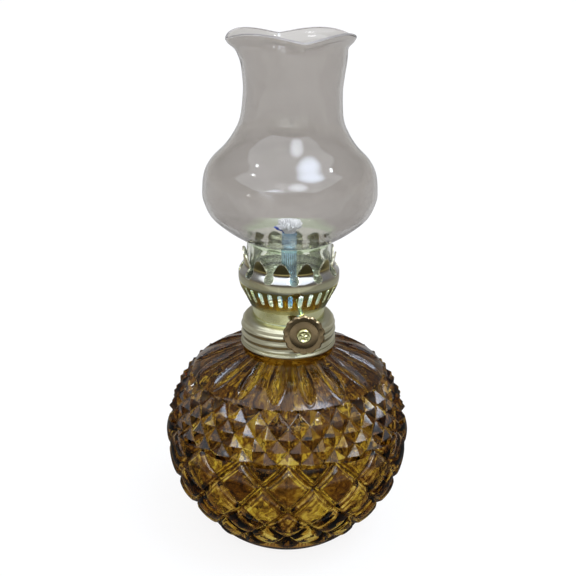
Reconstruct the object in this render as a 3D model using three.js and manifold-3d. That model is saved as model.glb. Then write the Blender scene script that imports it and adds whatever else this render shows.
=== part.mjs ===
// Kerosene table lamp: a pressed amber glass font with a diamond pattern, a brass screw burner with
// a round wick and a toothed wick raiser, and a clear blown chimney with a crimped rim.
// Millimetres, +Z up, origin at the centre of the foot. The front is -Y, and the right side is +X.
// An azimuth is an angle in radians from the front towards the right.
import * as THREE from "three";
import { mergeVertices } from "three/addons/utils/BufferGeometryUtils.js";
import Module from "manifold-3d";

const wasm = await Module();
wasm.setup();

// Sizes that every piece shares
const seatGap = 0.3; // left between two pieces that touch
const sheet = 0.7; // brass sheet of the burner
const cutOverrun = 2; // how far a cutter passes the wall it cuts
const weldTolerance = 1e-4; // vertices closer than this are one

// Font: the glass fuel bowl
const fontRadius = 50.7; // widest, over the pattern
const fontHeight = 86; // foot to the top of the shoulder
const fontWall = 5.2; // pattern and wall together
const fontBase = 6; // glass under the fuel
const footRadius = 19.5; // outer edge of the flat foot
const footHollowRadius = 11; // the foot is hollow inside this
const footHollowDepth = 1;
const pyramidRise = 0.5; // peak of a small pyramid over the bowl's surface
const pyramidSink = 1.1; // valley between pyramids under the bowl's surface
const padRise = 0.4; // face of a large diamond over the bowl's surface
const padSink = 1.7; // groove between large diamonds under it
const grooveHeight = 0.5; // plain groove above and below the pyramid band
const fluteDepth = 1.3; // thumb flutes on the shoulder
const fluteHalfWidth = 3.1;
const fluteCount = 17;
const fluteTurn = THREE.MathUtils.degToRad(2.7);
const repeatCount = 16; // large diamonds in one row
const patternTurn = THREE.MathUtils.degToRad(0.8);

// Neck of the font and the screw collar
const neckRadius = 16.9; // core of the glass neck
const neckHeight = 11; // shoulder to lip
const neckWall = 3.7;
const shoulderLedge = 2.6; // the shoulder starts this far outside the neck
const threadPitch = 3.3;
const threadDepth = 0.7;
const threadTurns = 2.1;
const threadClearance = 0.4;
const collarSheet = 0.7;
const collarLift = 2.1; // collar rim over the shoulder
const collarShoulder = 3; // height of the collar's rounded top edge
const beadRise = 0.7; // rolled rim outside the collar wall
const beadHeight = 1.4;
const ridgeRise = 0.35; // rolled thread seen on the collar's outside

// Gasket and burner floor
const gasketThickness = 1.1;
const gasketWidth = 2.8;
const floorThickness = 0.7;

// Wick and its tube
const wickRadius = 2.2;
const wickClearance = 0.4; // wick to tube
const tubeWall = 0.5;
const tubeDrop = 6; // tube below the burner floor
const tubeReveal = 5; // tube above the prongs
const wickHeadRadius = 4.6;
const wickHeadHeight = 5.6;
const wickHeadLift = 1.6; // frayed head over the tube's mouth
const wickFoot = 3; // wick below the tube
const tailClearance = 3; // hanging end over the font's floor

// Wick raiser: toothed wheels on a spindle
const wheelRadius = 3.5; // over the teeth
const wheelTooth = 0.7;
const wheelThickness = 0.6;
const wheelSpacing = 2.6; // between the middles of the two wheels
const wheelToothCount = 10;
const spindleRadius = 0.9;
const spindleTail = 1.2; // spindle past the bracket
const housingWall = 0.6;
const sleeveRadius = 1.55;
const sleeveInside = 2.4; // sleeve inside the drum wall
const sleeveOutside = 1.6; // and outside it
const sleeveClearance = 0.4;

// Knob
const knobRadius = 8;
const knobThickness = 0.9;
const knobStandoff = 10.2; // knob in front of the collar
const knobScallopDepth = 0.3;
const knobScallops = 14;
const knobHubRadius = 2.4;
const knobHubLength = 2.2;
const knobGrooveRadius = 5.6;
const knobGrooveWidth = 1;
const knobGrooveDepth = 0.3;
const rivetRadius = 2.9;
const rivetHeight = 1.1;
const rivetDimple = 0.5;

// Drum: the burner's cylindrical neck
const drumRoom = 3.3; // between the bracket's corner and the drum
const drumLedge = 0.4; // the drum stands this far outside the collar's hole
const drumLand = 2.6; // drum above the spindle hole

// Chimney
const fitterRadius = 16.9; // straight foot of the glass
const glassWall = 1.4;
const fitterReveal = 4.4; // fitter seen above the prongs
const chimneyRise = 78.6; // fold of the bulb to the rim
const bulbRadius = 34.2;
const waistRadius = 18.9;
const rimRadius = 23.9;
const rimCrimpRise = 1.35; // the rim waves up and down by this
const rimCrimpReach = 0.8; // and in and out by this
const rimLean = 1.4; // the hand-formed rim is this much higher in front
const rimSlip = 1; // and this far over to the left of the flue
const flueLean = 0.9; // the flue leans this far to the right
const rimLobes = 4;
const rimTurn = THREE.MathUtils.degToRad(11.5); // azimuth of one dip between lobes

// Crown: slotted basket with prongs round the fitter
const fitterClearance = 0.6;
const crownHeight = 23.1; // skirt to prong tips
const bellyBulge = 2.1; // belly outside the prongs' waist
const tipFlare = 0.9; // prong tips outside their waist
const prongCount = 12;
const prongTurn = THREE.MathUtils.degToRad(6);
const keyholeRadius = 1.9;
const keyholeNeck = 2.4; // width
const slotCount = 30;
const slotTurn = THREE.MathUtils.degToRad(2);
const slotWidth = 1.9;
const deckThickness = 0.7;
const deckHoleRadius = 1;
const deckHoleCount = 12;

// Worked-out places, from the foot up
const neckTop = fontHeight + neckHeight;
const threadCrest = neckRadius + threadDepth;
const collarInner = threadCrest + threadClearance;
const collarOuter = collarInner + collarSheet;
const collarBottom = fontHeight + collarLift;
const gasketBottom = neckTop + seatGap;
const floorBottom = gasketBottom + gasketThickness + seatGap;
const floorTop = floorBottom + floorThickness;
const collarCeiling = floorTop + seatGap;
const collarTop = collarCeiling + collarSheet;
const tubeInner = wickRadius + wickClearance;
const tubeOuter = tubeInner + tubeWall;
const spindleX = wickRadius + seatGap + wheelRadius;
const spindleHeight = floorTop + seatGap + wheelRadius;
const housingLow = tubeOuter + seatGap;
const housingHigh = spindleX + wheelRadius + seatGap + housingWall;
const housingHalf = (wheelSpacing + wheelThickness) / 2 + seatGap + housingWall;
const housingTop = spindleHeight + wheelRadius + seatGap + housingWall;
const spindleBore = spindleRadius + seatGap;
const drumInner = Math.hypot(housingHigh, housingHalf) + drumRoom;
const drumOuter = drumInner + sheet;
const drumBottom = collarTop + seatGap;
const sleeveHole = sleeveRadius + sleeveClearance;
const crownBottom = spindleHeight + sleeveHole + seatGap;
const drumTop = spindleHeight + sleeveHole + drumLand;
const drumFace = -Math.sqrt(drumOuter ** 2 - spindleX ** 2); // Y of the drum wall at the spindle
const skirtRadius = drumOuter + seatGap + sheet;
const waistOfProngs = fitterRadius + fitterClearance + sheet;
const bellyRadius = waistOfProngs + bellyBulge;
const prongTip = crownBottom + crownHeight;
const deckHeightShare = 0.455; // of the crown's height
const deckBottom = crownBottom + crownHeight * deckHeightShare;
const deckRadius = bellyRadius - sheet - seatGap;
const fitterBottom = deckBottom + deckThickness + seatGap;
const chimneyFold = prongTip + fitterReveal;
const tubeTop = prongTip + tubeReveal;
const tubeBottom = floorBottom - tubeDrop;
const wickBottom = tubeBottom - wickFoot;
const knobBack = -(collarOuter + knobStandoff);
const knobFace = knobBack - knobThickness;

// Materials, with the colours seen on the lamp
const amberGlass = new THREE.MeshStandardMaterial({
  color: 0x7a5220,
  roughness: 0.08,
  metalness: 0,
  transparent: true,
  opacity: 0.75,
});
const clearGlass = new THREE.MeshStandardMaterial({
  color: 0xdcdcd6,
  roughness: 0.05,
  metalness: 0,
  transparent: true,
  opacity: 0.3,
});
const paleBrass = new THREE.MeshStandardMaterial({ color: 0xd6c86e, roughness: 0.22, metalness: 1 });
const satinBrass = new THREE.MeshStandardMaterial({ color: 0xa79c6c, roughness: 0.35, metalness: 1 });
const darkBrass = new THREE.MeshStandardMaterial({ color: 0x87744c, roughness: 0.3, metalness: 1 });
const zincSteel = new THREE.MeshStandardMaterial({ color: 0x8fa5b8, roughness: 0.35, metalness: 1 });
const whiteCotton = new THREE.MeshStandardMaterial({ color: 0xe9e7e2, roughness: 1, metalness: 0 });
const fibre = new THREE.MeshStandardMaterial({ color: 0x5a4634, roughness: 0.9, metalness: 0 });

// A closed three.js geometry as a solid that can be joined and cut
function toSolid(geometry) {
  const loose = geometry.index ? geometry.toNonIndexed() : geometry;
  const bare = new THREE.BufferGeometry();
  bare.setAttribute("position", loose.getAttribute("position"));
  const welded = mergeVertices(bare, weldTolerance);
  const mesh = new wasm.Mesh({
    numProp: 3,
    vertProperties: welded.attributes.position.array,
    triVerts: new Uint32Array(welded.index.array),
  });
  return new wasm.Manifold(mesh);
}

// A solid back as a three.js geometry
function toGeometry(solid) {
  const mesh = solid.getMesh();
  const geometry = new THREE.BufferGeometry();
  geometry.setAttribute("position", new THREE.BufferAttribute(mesh.vertProperties, 3));
  geometry.setIndex(new THREE.BufferAttribute(mesh.triVerts, 1));
  geometry.computeVertexNormals();
  return geometry;
}

const cut = (body, cutters) => cutters.reduce((left, cutter) => left.subtract(cutter), body);

// A turned piece: points are [radius, height], up the outside, starting and ending on the axis
// or closing on themselves
function turned(points, segments) {
  const outline = points.map(([radius, height]) => new THREE.Vector2(radius, height));
  return new THREE.LatheGeometry(outline, segments).rotateX(Math.PI / 2);
}

// A ring or tube with a square section
function turnedRing(inner, outer, bottom, top, segments) {
  const outline = [
    [inner, bottom],
    [outer, bottom],
    [outer, top],
    [inner, top],
    [inner, bottom],
  ];
  return turned(outline, segments);
}

// A disc or rod on the axis
function turnedRod(radius, bottom, top, segments) {
  const outline = [
    [0, bottom],
    [radius, bottom],
    [radius, top],
    [0, top],
  ];
  return turned(outline, segments);
}

// The place at a radius, an azimuth and a height
const placeAt = (radius, azimuth, height) =>
  new THREE.Vector3(radius * Math.sin(azimuth), -radius * Math.cos(azimuth), height);

// Radius along an outline of [radius, height] points that rises in height
function radiusAt(outline, height) {
  const after = outline.findIndex((point) => point[1] >= height);
  if (after <= 0) return outline[after < 0 ? outline.length - 1 : 0][0];
  const [lowRadius, lowHeight] = outline[after - 1];
  const [highRadius, highHeight] = outline[after];
  return THREE.MathUtils.mapLinear(height, lowHeight, highHeight, lowRadius, highRadius);
}

// Gathers vertices and triangles of a surface that is built ring by ring
class Skin {
  positions = [];
  triangles = [];

  vertex(place) {
    this.positions.push(place.x, place.y, place.z);
    return this.positions.length / 3 - 1;
  }

  // Vertices evenly round the axis; radiusOf may differ for each
  ring(count, start, height, radiusOf) {
    const step = (2 * Math.PI) / count;
    return Array.from({ length: count }, (_, i) => {
      const azimuth = start + i * step;
      return { index: this.vertex(placeAt(radiusOf(i), azimuth, height)), azimuth };
    });
  }

  triangle(a, b, c) {
    this.triangles.push(a, b, c);
  }

  quad(a, b, c, d) {
    this.triangle(a, b, c);
    this.triangle(a, c, d);
  }

  // A strip between two rings of any counts that start near the same azimuth
  zip(lower, upper) {
    const turn = 2 * Math.PI;
    const at = (ring, i) => ring[i % ring.length].azimuth + turn * Math.floor(i / ring.length);
    let i = 0;
    let j = 0;
    while (i < lower.length || j < upper.length) {
      const low = lower[i % lower.length].index;
      const high = upper[j % upper.length].index;
      const lowerNext = i < lower.length && (j >= upper.length || at(lower, i + 1) <= at(upper, j + 1));
      if (lowerNext) {
        this.triangle(low, lower[(i + 1) % lower.length].index, high);
        i += 1;
      } else {
        this.triangle(low, upper[(j + 1) % upper.length].index, high);
        j += 1;
      }
    }
  }

  // A fan from a ring to a point on the axis, facing up or down
  cap(ring, height, facingUp) {
    const centre = this.vertex(new THREE.Vector3(0, 0, height));
    ring.forEach((corner, i) => {
      const next = ring[(i + 1) % ring.length].index;
      if (facingUp) this.triangle(corner.index, next, centre);
      else this.triangle(next, corner.index, centre);
    });
  }

  geometry() {
    const geometry = new THREE.BufferGeometry();
    geometry.setAttribute("position", new THREE.Float32BufferAttribute(this.positions, 3));
    geometry.setIndex(this.triangles);
    return geometry;
  }
}

// A thread ridge wound round the axis: a four-sided section whose crest fades in and out
function threadRidge({ root, crest, rootWidth, crestWidth, start, turns, stepsPerTurn }) {
  const skin = new Skin();
  const steps = Math.round(turns * stepsPerTurn);
  const fadeSteps = stepsPerTurn / 8;
  const leastShare = 0.15;
  const sections = Array.from({ length: steps + 1 }, (_, i) => {
    const azimuth = (i / stepsPerTurn) * 2 * Math.PI;
    const height = start + (i / stepsPerTurn) * threadPitch;
    const full = Math.max(leastShare, Math.min(1, i / fadeSteps, (steps - i) / fadeSteps));
    const top = root + (crest - root) * full;
    const corners = [
      [root, -rootWidth / 2],
      [top, -crestWidth / 2],
      [top, crestWidth / 2],
      [root, rootWidth / 2],
    ];
    return corners.map(([radius, rise]) => skin.vertex(placeAt(radius, azimuth, height + rise)));
  });
  const inward = crest < root;
  const face = (a, b, c, d) => (inward ? skin.quad(d, c, b, a) : skin.quad(a, b, c, d));
  sections.slice(1).forEach((after, i) => {
    const before = sections[i];
    before.forEach((corner, k) => {
      const next = (k + 1) % before.length;
      face(corner, after[k], after[next], before[next]);
    });
  });
  face(...sections[0]);
  face(...sections[steps].toReversed());
  return skin.geometry();
}

// Heights and radii of the bowl's plain surface, as shares of the font's height and radius
const bowlShares = [
  [0.014, 0.427],
  [0.053, 0.546],
  [0.109, 0.651],
  [0.213, 0.8],
  [0.317, 0.912],
  [0.426, 0.97],
  [0.547, 1],
  [0.664, 0.972],
  [0.721, 0.942],
  [0.774, 0.908],
  [0.828, 0.858],
  [0.88, 0.788],
  [0.915, 0.711],
  [0.95, 0.611],
  [0.977, 0.496],
];
const shoulderTop = neckRadius + shoulderLedge;
const bowlOutline = [
  [footRadius, 0],
  ...bowlShares.map(([height, radius]) => [fontRadius * radius, fontHeight * height]),
  [shoulderTop, fontHeight],
];
const bowlRadius = (height) => radiusAt(bowlOutline, height);

// Row heights of the two diamond patterns, as shares of the font's height, from the bottom up
const padRowShares = [0.116, 0.209, 0.309, 0.408, 0.547, 0.662];
const pyramidRowShares = [0.6674, 0.721, 0.774, 0.828, 0.879];
const shoulderRowShares = [0.893, 0.915, 0.95, 0.977];
const footRowShares = [0.053, 0.109];
const padInsetShare = 0.16; // bevel round a diamond's face, of its half width

const padColumns = repeatCount * 2;
const pyramidColumns = repeatCount * 4;
const padStep = (2 * Math.PI) / padColumns;

// One large diamond, or the half of one at the pattern's edge: a raised face inside its corners
function addPad(skin, centre, corners) {
  const inset = (corner) => {
    const azimuth = THREE.MathUtils.lerp(corner.azimuth, centre.azimuth, padInsetShare);
    const height = THREE.MathUtils.lerp(corner.height, centre.height, padInsetShare);
    return skin.vertex(placeAt(bowlRadius(height) + padRise, azimuth, height));
  };
  const raised = corners.map(inset);
  corners.forEach((corner, i) => {
    const next = (i + 1) % corners.length;
    skin.quad(corner.index, corners[next].index, raised[next], raised[i]);
  });
  if (corners.length === 3) {
    skin.triangle(...raised);
    return;
  }
  const top = skin.vertex(placeAt(bowlRadius(centre.height) + padRise, centre.azimuth, centre.height));
  raised.forEach((corner, i) => skin.triangle(corner, raised[(i + 1) % raised.length], top));
}

// The rows of large diamonds; returns the corner rings at the bottom and at the top
function addPads(skin) {
  const rows = padRowShares.map((share) => share * fontHeight);
  const corners = rows.map((height, row) =>
    Array.from({ length: repeatCount }, (_, i) => {
      const column = 2 * i + ((row + 1) % 2);
      const azimuth = patternTurn + column * padStep;
      const radius = bowlRadius(height) - padSink;
      return { index: skin.vertex(placeAt(radius, azimuth, height)), azimuth, height };
    }),
  );
  // The corner at a column, with its azimuth beside that column rather than a turn away
  const corner = (row, column) => {
    const found = corners[row][Math.floor(column / 2 + repeatCount) % repeatCount];
    return { ...found, azimuth: patternTurn + column * padStep };
  };
  rows.forEach((height, row) => {
    for (let i = 0; i < repeatCount; i += 1) {
      const column = 2 * i + (row % 2);
      const centre = { azimuth: patternTurn + column * padStep, height };
      const round = [corner(row, column - 1), corner(row, column + 1)];
      if (row > 0) round.splice(1, 0, corner(row - 1, column));
      if (row < rows.length - 1) round.push(corner(row + 1, column));
      addPad(skin, centre, round);
    }
  });
  return { bottom: corners[0], top: corners[rows.length - 1] };
}

// The band of small pyramids; returns its rings at the bottom and at the top
function addPyramids(skin) {
  const rings = pyramidRowShares.map((share, row) => {
    const height = share * fontHeight;
    const plain = bowlRadius(height);
    const radiusOf = (i) => plain + ((i + row) % 2 ? -pyramidSink : pyramidRise);
    return skin.ring(pyramidColumns, patternTurn, height, radiusOf);
  });
  rings.slice(1).forEach((upper, row) => {
    const lower = rings[row];
    lower.forEach((_, i) => {
      const next = (i + 1) % pyramidColumns;
      const [a, b, c, d] = [lower[i], lower[next], upper[next], upper[i]].map((v) => v.index);
      if ((i + row) % 2) skin.quad(a, b, c, d);
      else skin.quad(b, c, d, a);
    });
  });
  return { bottom: rings[0], top: rings[rings.length - 1] };
}

// A thumb flute's cutter: a long ellipsoid laid on the shoulder's slope
function fluteCutters() {
  const high = [shoulderTop * 1.08, fontHeight * 0.993];
  const low = [fontRadius * 0.745, fontHeight * 0.893];
  const along = new THREE.Vector2(low[0] - high[0], low[1] - high[1]);
  const slope = Math.atan2(-along.y, along.x);
  const middleHeight = (high[1] + low[1]) / 2;
  const middle = [bowlRadius(middleHeight), middleHeight];
  const thickness = fluteDepth * 2.4;
  const lift = thickness - fluteDepth;
  const reach = Math.sqrt(1 - (lift / thickness) ** 2); // share of the ellipsoid's girth at the glass
  const step = (2 * Math.PI) / fluteCount;
  return Array.from({ length: fluteCount }, (_, i) => {
    const cutter = new THREE.SphereGeometry(1, 12, 8);
    cutter.scale(fluteHalfWidth / reach, along.length() / 2 / reach, thickness);
    cutter.rotateX(slope);
    cutter.translate(0, -middle[0] - lift * Math.sin(slope), middle[1] + lift * Math.cos(slope));
    cutter.rotateZ(fluteTurn + (i + 0.5) * step);
    return toSolid(cutter);
  });
}

// Inside of the bowl and the neck's bore
function fontHollow() {
  const inner = (fontRadius - fontWall) / fontRadius;
  const top = fontHeight - fontWall;
  const bore = neckRadius - neckWall;
  const inside = bowlShares
    .filter(([, radius]) => radius * inner * fontRadius > bore)
    .map(([height, radius]) => [radius * inner * fontRadius, fontBase + height * (top - fontBase)]);
  const outline = [
    [0, fontBase],
    [footRadius * inner, fontBase],
    ...inside,
    [bore, top],
    [bore, neckTop + cutOverrun],
    [0, neckTop + cutOverrun],
  ];
  return turned(outline, 32);
}

function makeFont() {
  const skin = new Skin();
  const footStart = patternTurn + padStep;
  const footRing = (radius, height) => skin.ring(padColumns, footStart, height, () => radius);
  const bowlRing = (height, sink = 0) => footRing(bowlRadius(height) - sink, height);
  const hollowEdge = footHollowRadius - footHollowDepth;
  const foot = [
    footRing(hollowEdge, footHollowDepth),
    footRing(footHollowRadius, 0),
    footRing(footRadius, 0),
    ...footRowShares.map((share) => bowlRing(share * fontHeight)),
  ];
  skin.cap(foot[0], footHollowDepth, false);
  foot.slice(1).forEach((upper, i) => skin.zip(foot[i], upper));

  const pads = addPads(skin);
  skin.zip(foot[foot.length - 1], pads.bottom);
  const pyramids = addPyramids(skin);
  skin.zip(pads.top, pyramids.bottom);

  const plainRing = (radius, height) => skin.ring(padColumns, patternTurn, height, () => radius);
  const bandTop = pyramidRowShares[pyramidRowShares.length - 1] * fontHeight;
  const grooveTop = bandTop + grooveHeight;
  const shoulder = [
    plainRing(bowlRadius(grooveTop) - pyramidSink / 2, grooveTop),
    ...shoulderRowShares.map((share) => plainRing(bowlRadius(share * fontHeight), share * fontHeight)),
    plainRing(shoulderTop, fontHeight),
    plainRing(neckRadius, fontHeight + shoulderLedge / 2),
    plainRing(neckRadius, neckTop),
  ];
  skin.zip(pyramids.top, shoulder[0]);
  shoulder.slice(1).forEach((upper, i) => skin.zip(shoulder[i], upper));
  skin.cap(shoulder[shoulder.length - 1], neckTop, true);

  const thread = threadRidge({
    root: neckRadius - threadDepth / 2,
    crest: threadCrest,
    rootWidth: threadPitch * 0.6,
    crestWidth: threadPitch * 0.2,
    start: neckTop - threadPitch * (threadTurns + 0.4),
    turns: threadTurns,
    stepsPerTurn: 16,
  });
  const body = cut(toSolid(skin.geometry()), fluteCutters());
  return toGeometry(body.add(toSolid(thread)).subtract(toSolid(fontHollow())));
}

function makeGasket() {
  const outer = neckRadius;
  return turnedRing(outer - gasketWidth, outer, gasketBottom, gasketBottom + gasketThickness, 32);
}

// Screw collar: sheet shell with a rolled rim, a rounded top edge and its thread rolled through
function makeCollar() {
  const hole = drumInner - drumLedge;
  const edge = collarShoulder;
  const outside = [
    [collarOuter + beadRise * 0.6, collarBottom],
    [collarOuter + beadRise, collarBottom + beadHeight * 0.35],
    [collarOuter + beadRise * 0.8, collarBottom + beadHeight * 0.8],
    [collarOuter, collarBottom + beadHeight],
    [collarOuter, collarTop - edge],
    [collarOuter - edge * 0.13, collarTop - edge * 0.5],
    [collarOuter - edge * 0.5, collarTop - edge * 0.13],
    [collarOuter - edge, collarTop],
    [hole, collarTop],
  ];
  const inside = [
    [hole, collarCeiling],
    [collarInner - edge, collarCeiling],
    [collarInner - edge * 0.35, collarCeiling - edge * 0.2],
    [collarInner, collarCeiling - edge * 0.7],
    [collarInner, collarBottom],
  ];
  const shell = toSolid(turned([...outside, ...inside, outside[0]], 32));
  const low = neckTop - threadPitch * (threadTurns + 0.4);
  const inner = threadRidge({
    root: collarInner + collarSheet / 2,
    crest: neckRadius + threadClearance,
    rootWidth: threadPitch * 0.45,
    crestWidth: threadPitch * 0.15,
    start: low + threadPitch * 0.5,
    turns: threadTurns - 0.5,
    stepsPerTurn: 16,
  });
  const outer = threadRidge({
    root: collarOuter - collarSheet / 2,
    crest: collarOuter + ridgeRise,
    rootWidth: threadPitch * 0.62,
    crestWidth: threadPitch * 0.22,
    start: low + threadPitch * 0.2,
    turns: threadTurns,
    stepsPerTurn: 24,
  });
  return toGeometry(shell.add(toSolid(inner)).add(toSolid(outer)));
}

// Floor plate, small enough to clear the collar's rounded edge
function makeFloor() {
  const outer = collarInner - collarShoulder * 0.8;
  return turnedRing(tubeOuter + seatGap, outer, floorBottom, floorTop, 32);
}

// A rod along Y from the back to the front, centred on the spindle
function spindleRod(radius, back, front, segments) {
  const rod = new THREE.CylinderGeometry(radius, radius, back - front, segments);
  return rod.translate(spindleX, (back + front) / 2, spindleHeight);
}

function makeDrum() {
  const wall = toSolid(turnedRing(drumInner, drumOuter, drumBottom, drumTop, 32));
  const hole = toSolid(spindleRod(sleeveHole, 0, drumFace - cutOverrun, 16));
  return toGeometry(wall.subtract(hole));
}

// Outside of the crown: heights as shares of its height, radii between skirt, belly and waist
function crownOutline(inset) {
  const at = (share) => crownBottom + crownHeight * share;
  const between = (from, to, share) => THREE.MathUtils.lerp(from, to, share) - inset;
  return [
    [skirtRadius - inset, at(0)],
    [between(skirtRadius, bellyRadius, 0.12), at(0.05)],
    [between(skirtRadius, bellyRadius, 0.5), at(0.2)],
    [between(skirtRadius, bellyRadius, 0.86), at(0.35)],
    [between(skirtRadius, bellyRadius, 0.99), at(0.46)],
    [bellyRadius - inset, at(0.56)],
    [between(waistOfProngs, bellyRadius, 0.88), at(0.62)],
    [between(waistOfProngs, bellyRadius, 0.1), at(0.73)],
    [waistOfProngs - inset, at(0.77)],
    [waistOfProngs + tipFlare * 0.6 - inset, at(0.9)],
    [waistOfProngs + tipFlare - inset, at(1)],
  ];
}

// A cutter that goes out through the wall at an azimuth, from a shape drawn across and up
function radialCutter(shape, azimuth) {
  const reach = bellyRadius + cutOverrun;
  const depth = reach - drumInner / 2;
  const cutter = new THREE.ExtrudeGeometry(shape, { depth, bevelEnabled: false, curveSegments: 4 });
  cutter.rotateX(Math.PI / 2);
  cutter.translate(0, -drumInner / 2, 0);
  cutter.rotateZ(azimuth);
  return toSolid(cutter);
}

// Opening between two prongs: a round hole, a narrow neck, and a mouth that rounds the tips off
function keyholeShape() {
  const at = (share) => crownBottom + crownHeight * share;
  const holeMiddle = at(0.685);
  const neckHalf = keyholeNeck / 2;
  const neckLow = holeMiddle + Math.sqrt(keyholeRadius ** 2 - neckHalf ** 2);
  const neckHigh = at(0.775);
  const halfPitch = (Math.PI * waistOfProngs) / prongCount;
  const tipHalf = halfPitch * 0.12;
  const top = prongTip + cutOverrun;
  const shape = new THREE.Shape();
  shape.moveTo(neckHalf, neckLow);
  shape.lineTo(neckHalf, neckHigh);
  shape.bezierCurveTo(halfPitch * 0.38, at(0.85), halfPitch * 0.7, at(0.96), halfPitch - tipHalf, prongTip);
  shape.lineTo(halfPitch - tipHalf, top);
  shape.lineTo(tipHalf - halfPitch, top);
  shape.lineTo(tipHalf - halfPitch, prongTip);
  shape.bezierCurveTo(-halfPitch * 0.7, at(0.96), -halfPitch * 0.38, at(0.85), -neckHalf, neckHigh);
  shape.lineTo(-neckHalf, neckLow);
  const start = Math.atan2(neckLow - holeMiddle, -neckHalf);
  const end = Math.atan2(neckLow - holeMiddle, neckHalf);
  shape.absarc(0, holeMiddle, keyholeRadius, start, end + 2 * Math.PI, false);
  return shape;
}

// Air slot: upright, with pointed round ends
function slotShape() {
  const at = (share) => crownBottom + crownHeight * share;
  const half = slotWidth / 2;
  const [low, high] = [at(0.16), at(0.44)];
  const shape = new THREE.Shape();
  shape.moveTo(0, low);
  shape.lineTo(half, low + half);
  shape.lineTo(half, high - half);
  shape.lineTo(0, high);
  shape.lineTo(-half, high - half);
  shape.lineTo(-half, low + half);
  return shape;
}

function makeCrown() {
  const outside = crownOutline(0);
  const inside = crownOutline(sheet).reverse();
  const shell = toSolid(turned([...outside, ...inside, outside[0]], prongCount * 2));
  const keyhole = keyholeShape();
  const slot = slotShape();
  const around = (shape, count, turn) =>
    Array.from({ length: count }, (_, i) => radialCutter(shape, turn + (i * 2 * Math.PI) / count));
  const cutters = [...around(keyhole, prongCount, prongTurn), ...around(slot, slotCount, slotTurn)];
  return toGeometry(cut(shell, cutters));
}

// Air deck under the chimney, with a ring of holes round the wick tube
function makeDeck() {
  const circle = (x, y, radius, corners) =>
    Array.from({ length: corners }, (_, i) => {
      const angle = (i * 2 * Math.PI) / corners;
      return new THREE.Vector2(x + radius * Math.cos(angle), y + radius * Math.sin(angle));
    });
  const shape = new THREE.Shape(circle(0, 0, deckRadius, 32));
  shape.holes.push(new THREE.Path(circle(0, 0, tubeOuter + seatGap, 16)));
  const ring = (deckRadius + tubeOuter) / 2;
  for (let i = 0; i < deckHoleCount; i += 1) {
    const azimuth = (i * 2 * Math.PI) / deckHoleCount;
    const middle = placeAt(ring, azimuth, deckBottom);
    shape.holes.push(new THREE.Path(circle(middle.x, middle.y, deckHoleRadius, 6)));
  }
  const deck = new THREE.ExtrudeGeometry(shape, { depth: deckThickness, bevelEnabled: false });
  return deck.translate(0, 0, deckBottom);
}

// Wick tube, with two slots where the toothed wheels reach the wick
function makeTube() {
  const wall = toSolid(turnedRing(tubeInner, tubeOuter, tubeBottom, tubeTop, 20));
  const slotHeight = 2 * wheelRadius;
  const slotThickness = wheelThickness + 2 * seatGap;
  const cutters = [-1, 1].map((side) => {
    const slot = new THREE.BoxGeometry(tubeOuter, slotThickness, slotHeight);
    slot.translate(tubeOuter, (side * wheelSpacing) / 2, spindleHeight);
    return toSolid(slot);
  });
  return toGeometry(cut(wall, cutters));
}

// Wick: a round woven cord with a frayed head over the tube
function makeWick() {
  const headBottom = tubeTop + wickHeadLift;
  const at = (share) => headBottom + wickHeadHeight * share;
  return turned(
    [
      [0, wickBottom],
      [wickRadius, wickBottom],
      [wickRadius, headBottom],
      [wickHeadRadius * 0.86, at(0.2)],
      [wickHeadRadius, at(0.5)],
      [wickHeadRadius * 0.8, at(0.8)],
      [wickHeadRadius * 0.4, at(1)],
      [0, at(1)],
    ],
    12,
  );
}

// Free end of the wick, hanging in the fuel
function makeWickTail() {
  return turnedRod(wickRadius, fontBase + tailClearance, wickBottom - seatGap, 10);
}

// A plate across Y, drawn as a shape in X and Z about the spindle
function spindlePlate(shape, thickness, middle, curveSegments) {
  const plate = new THREE.ExtrudeGeometry(shape, { depth: thickness, bevelEnabled: false, curveSegments });
  plate.rotateX(Math.PI / 2);
  return plate.translate(spindleX, middle + thickness / 2, spindleHeight);
}

function circleHole(radius) {
  const path = new THREE.Path();
  path.absarc(0, 0, radius, 0, 2 * Math.PI, true);
  return path;
}

function makeWheel(side) {
  const shape = new THREE.Shape();
  const corners = wheelToothCount * 2;
  for (let i = 0; i < corners; i += 1) {
    const angle = Math.PI + (i * 2 * Math.PI) / corners;
    const radius = i % 2 ? wheelRadius - wheelTooth : wheelRadius;
    const [x, y] = [radius * Math.cos(angle), radius * Math.sin(angle)];
    if (i) shape.lineTo(x, y);
    else shape.moveTo(x, y);
  }
  shape.holes.push(circleHole(spindleBore));
  return spindlePlate(shape, wheelThickness, (side * wheelSpacing) / 2, 4);
}

function makeWheelSpacer() {
  const shape = new THREE.Shape();
  shape.absarc(0, 0, spindleBore + housingWall, 0, 2 * Math.PI, false);
  shape.holes.push(circleHole(spindleBore));
  return spindlePlate(shape, wheelSpacing - wheelThickness - 2 * seatGap, 0, 8);
}

// Bracket round the wheels, open towards the wick tube and below
function makeHousing() {
  const bottom = floorTop + seatGap;
  const outer = new THREE.BoxGeometry(housingHigh - housingLow, 2 * housingHalf, housingTop - bottom);
  outer.translate((housingHigh + housingLow) / 2, 0, (housingTop + bottom) / 2);
  const length = housingHigh - housingWall - housingLow + cutOverrun;
  const height = housingTop - housingWall - bottom + cutOverrun;
  const inner = new THREE.BoxGeometry(length, 2 * (housingHalf - housingWall), height);
  inner.translate(
    housingHigh - housingWall - length / 2,
    0,
    housingTop - housingWall - height / 2,
  );
  const bore = spindleRod(spindleBore, housingHalf + cutOverrun, -housingHalf - cutOverrun, 12);
  return toGeometry(cut(toSolid(outer), [toSolid(inner), toSolid(bore)]));
}

function makeSpindle() {
  return spindleRod(spindleRadius, housingHalf + spindleTail, knobFace, 12);
}

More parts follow.
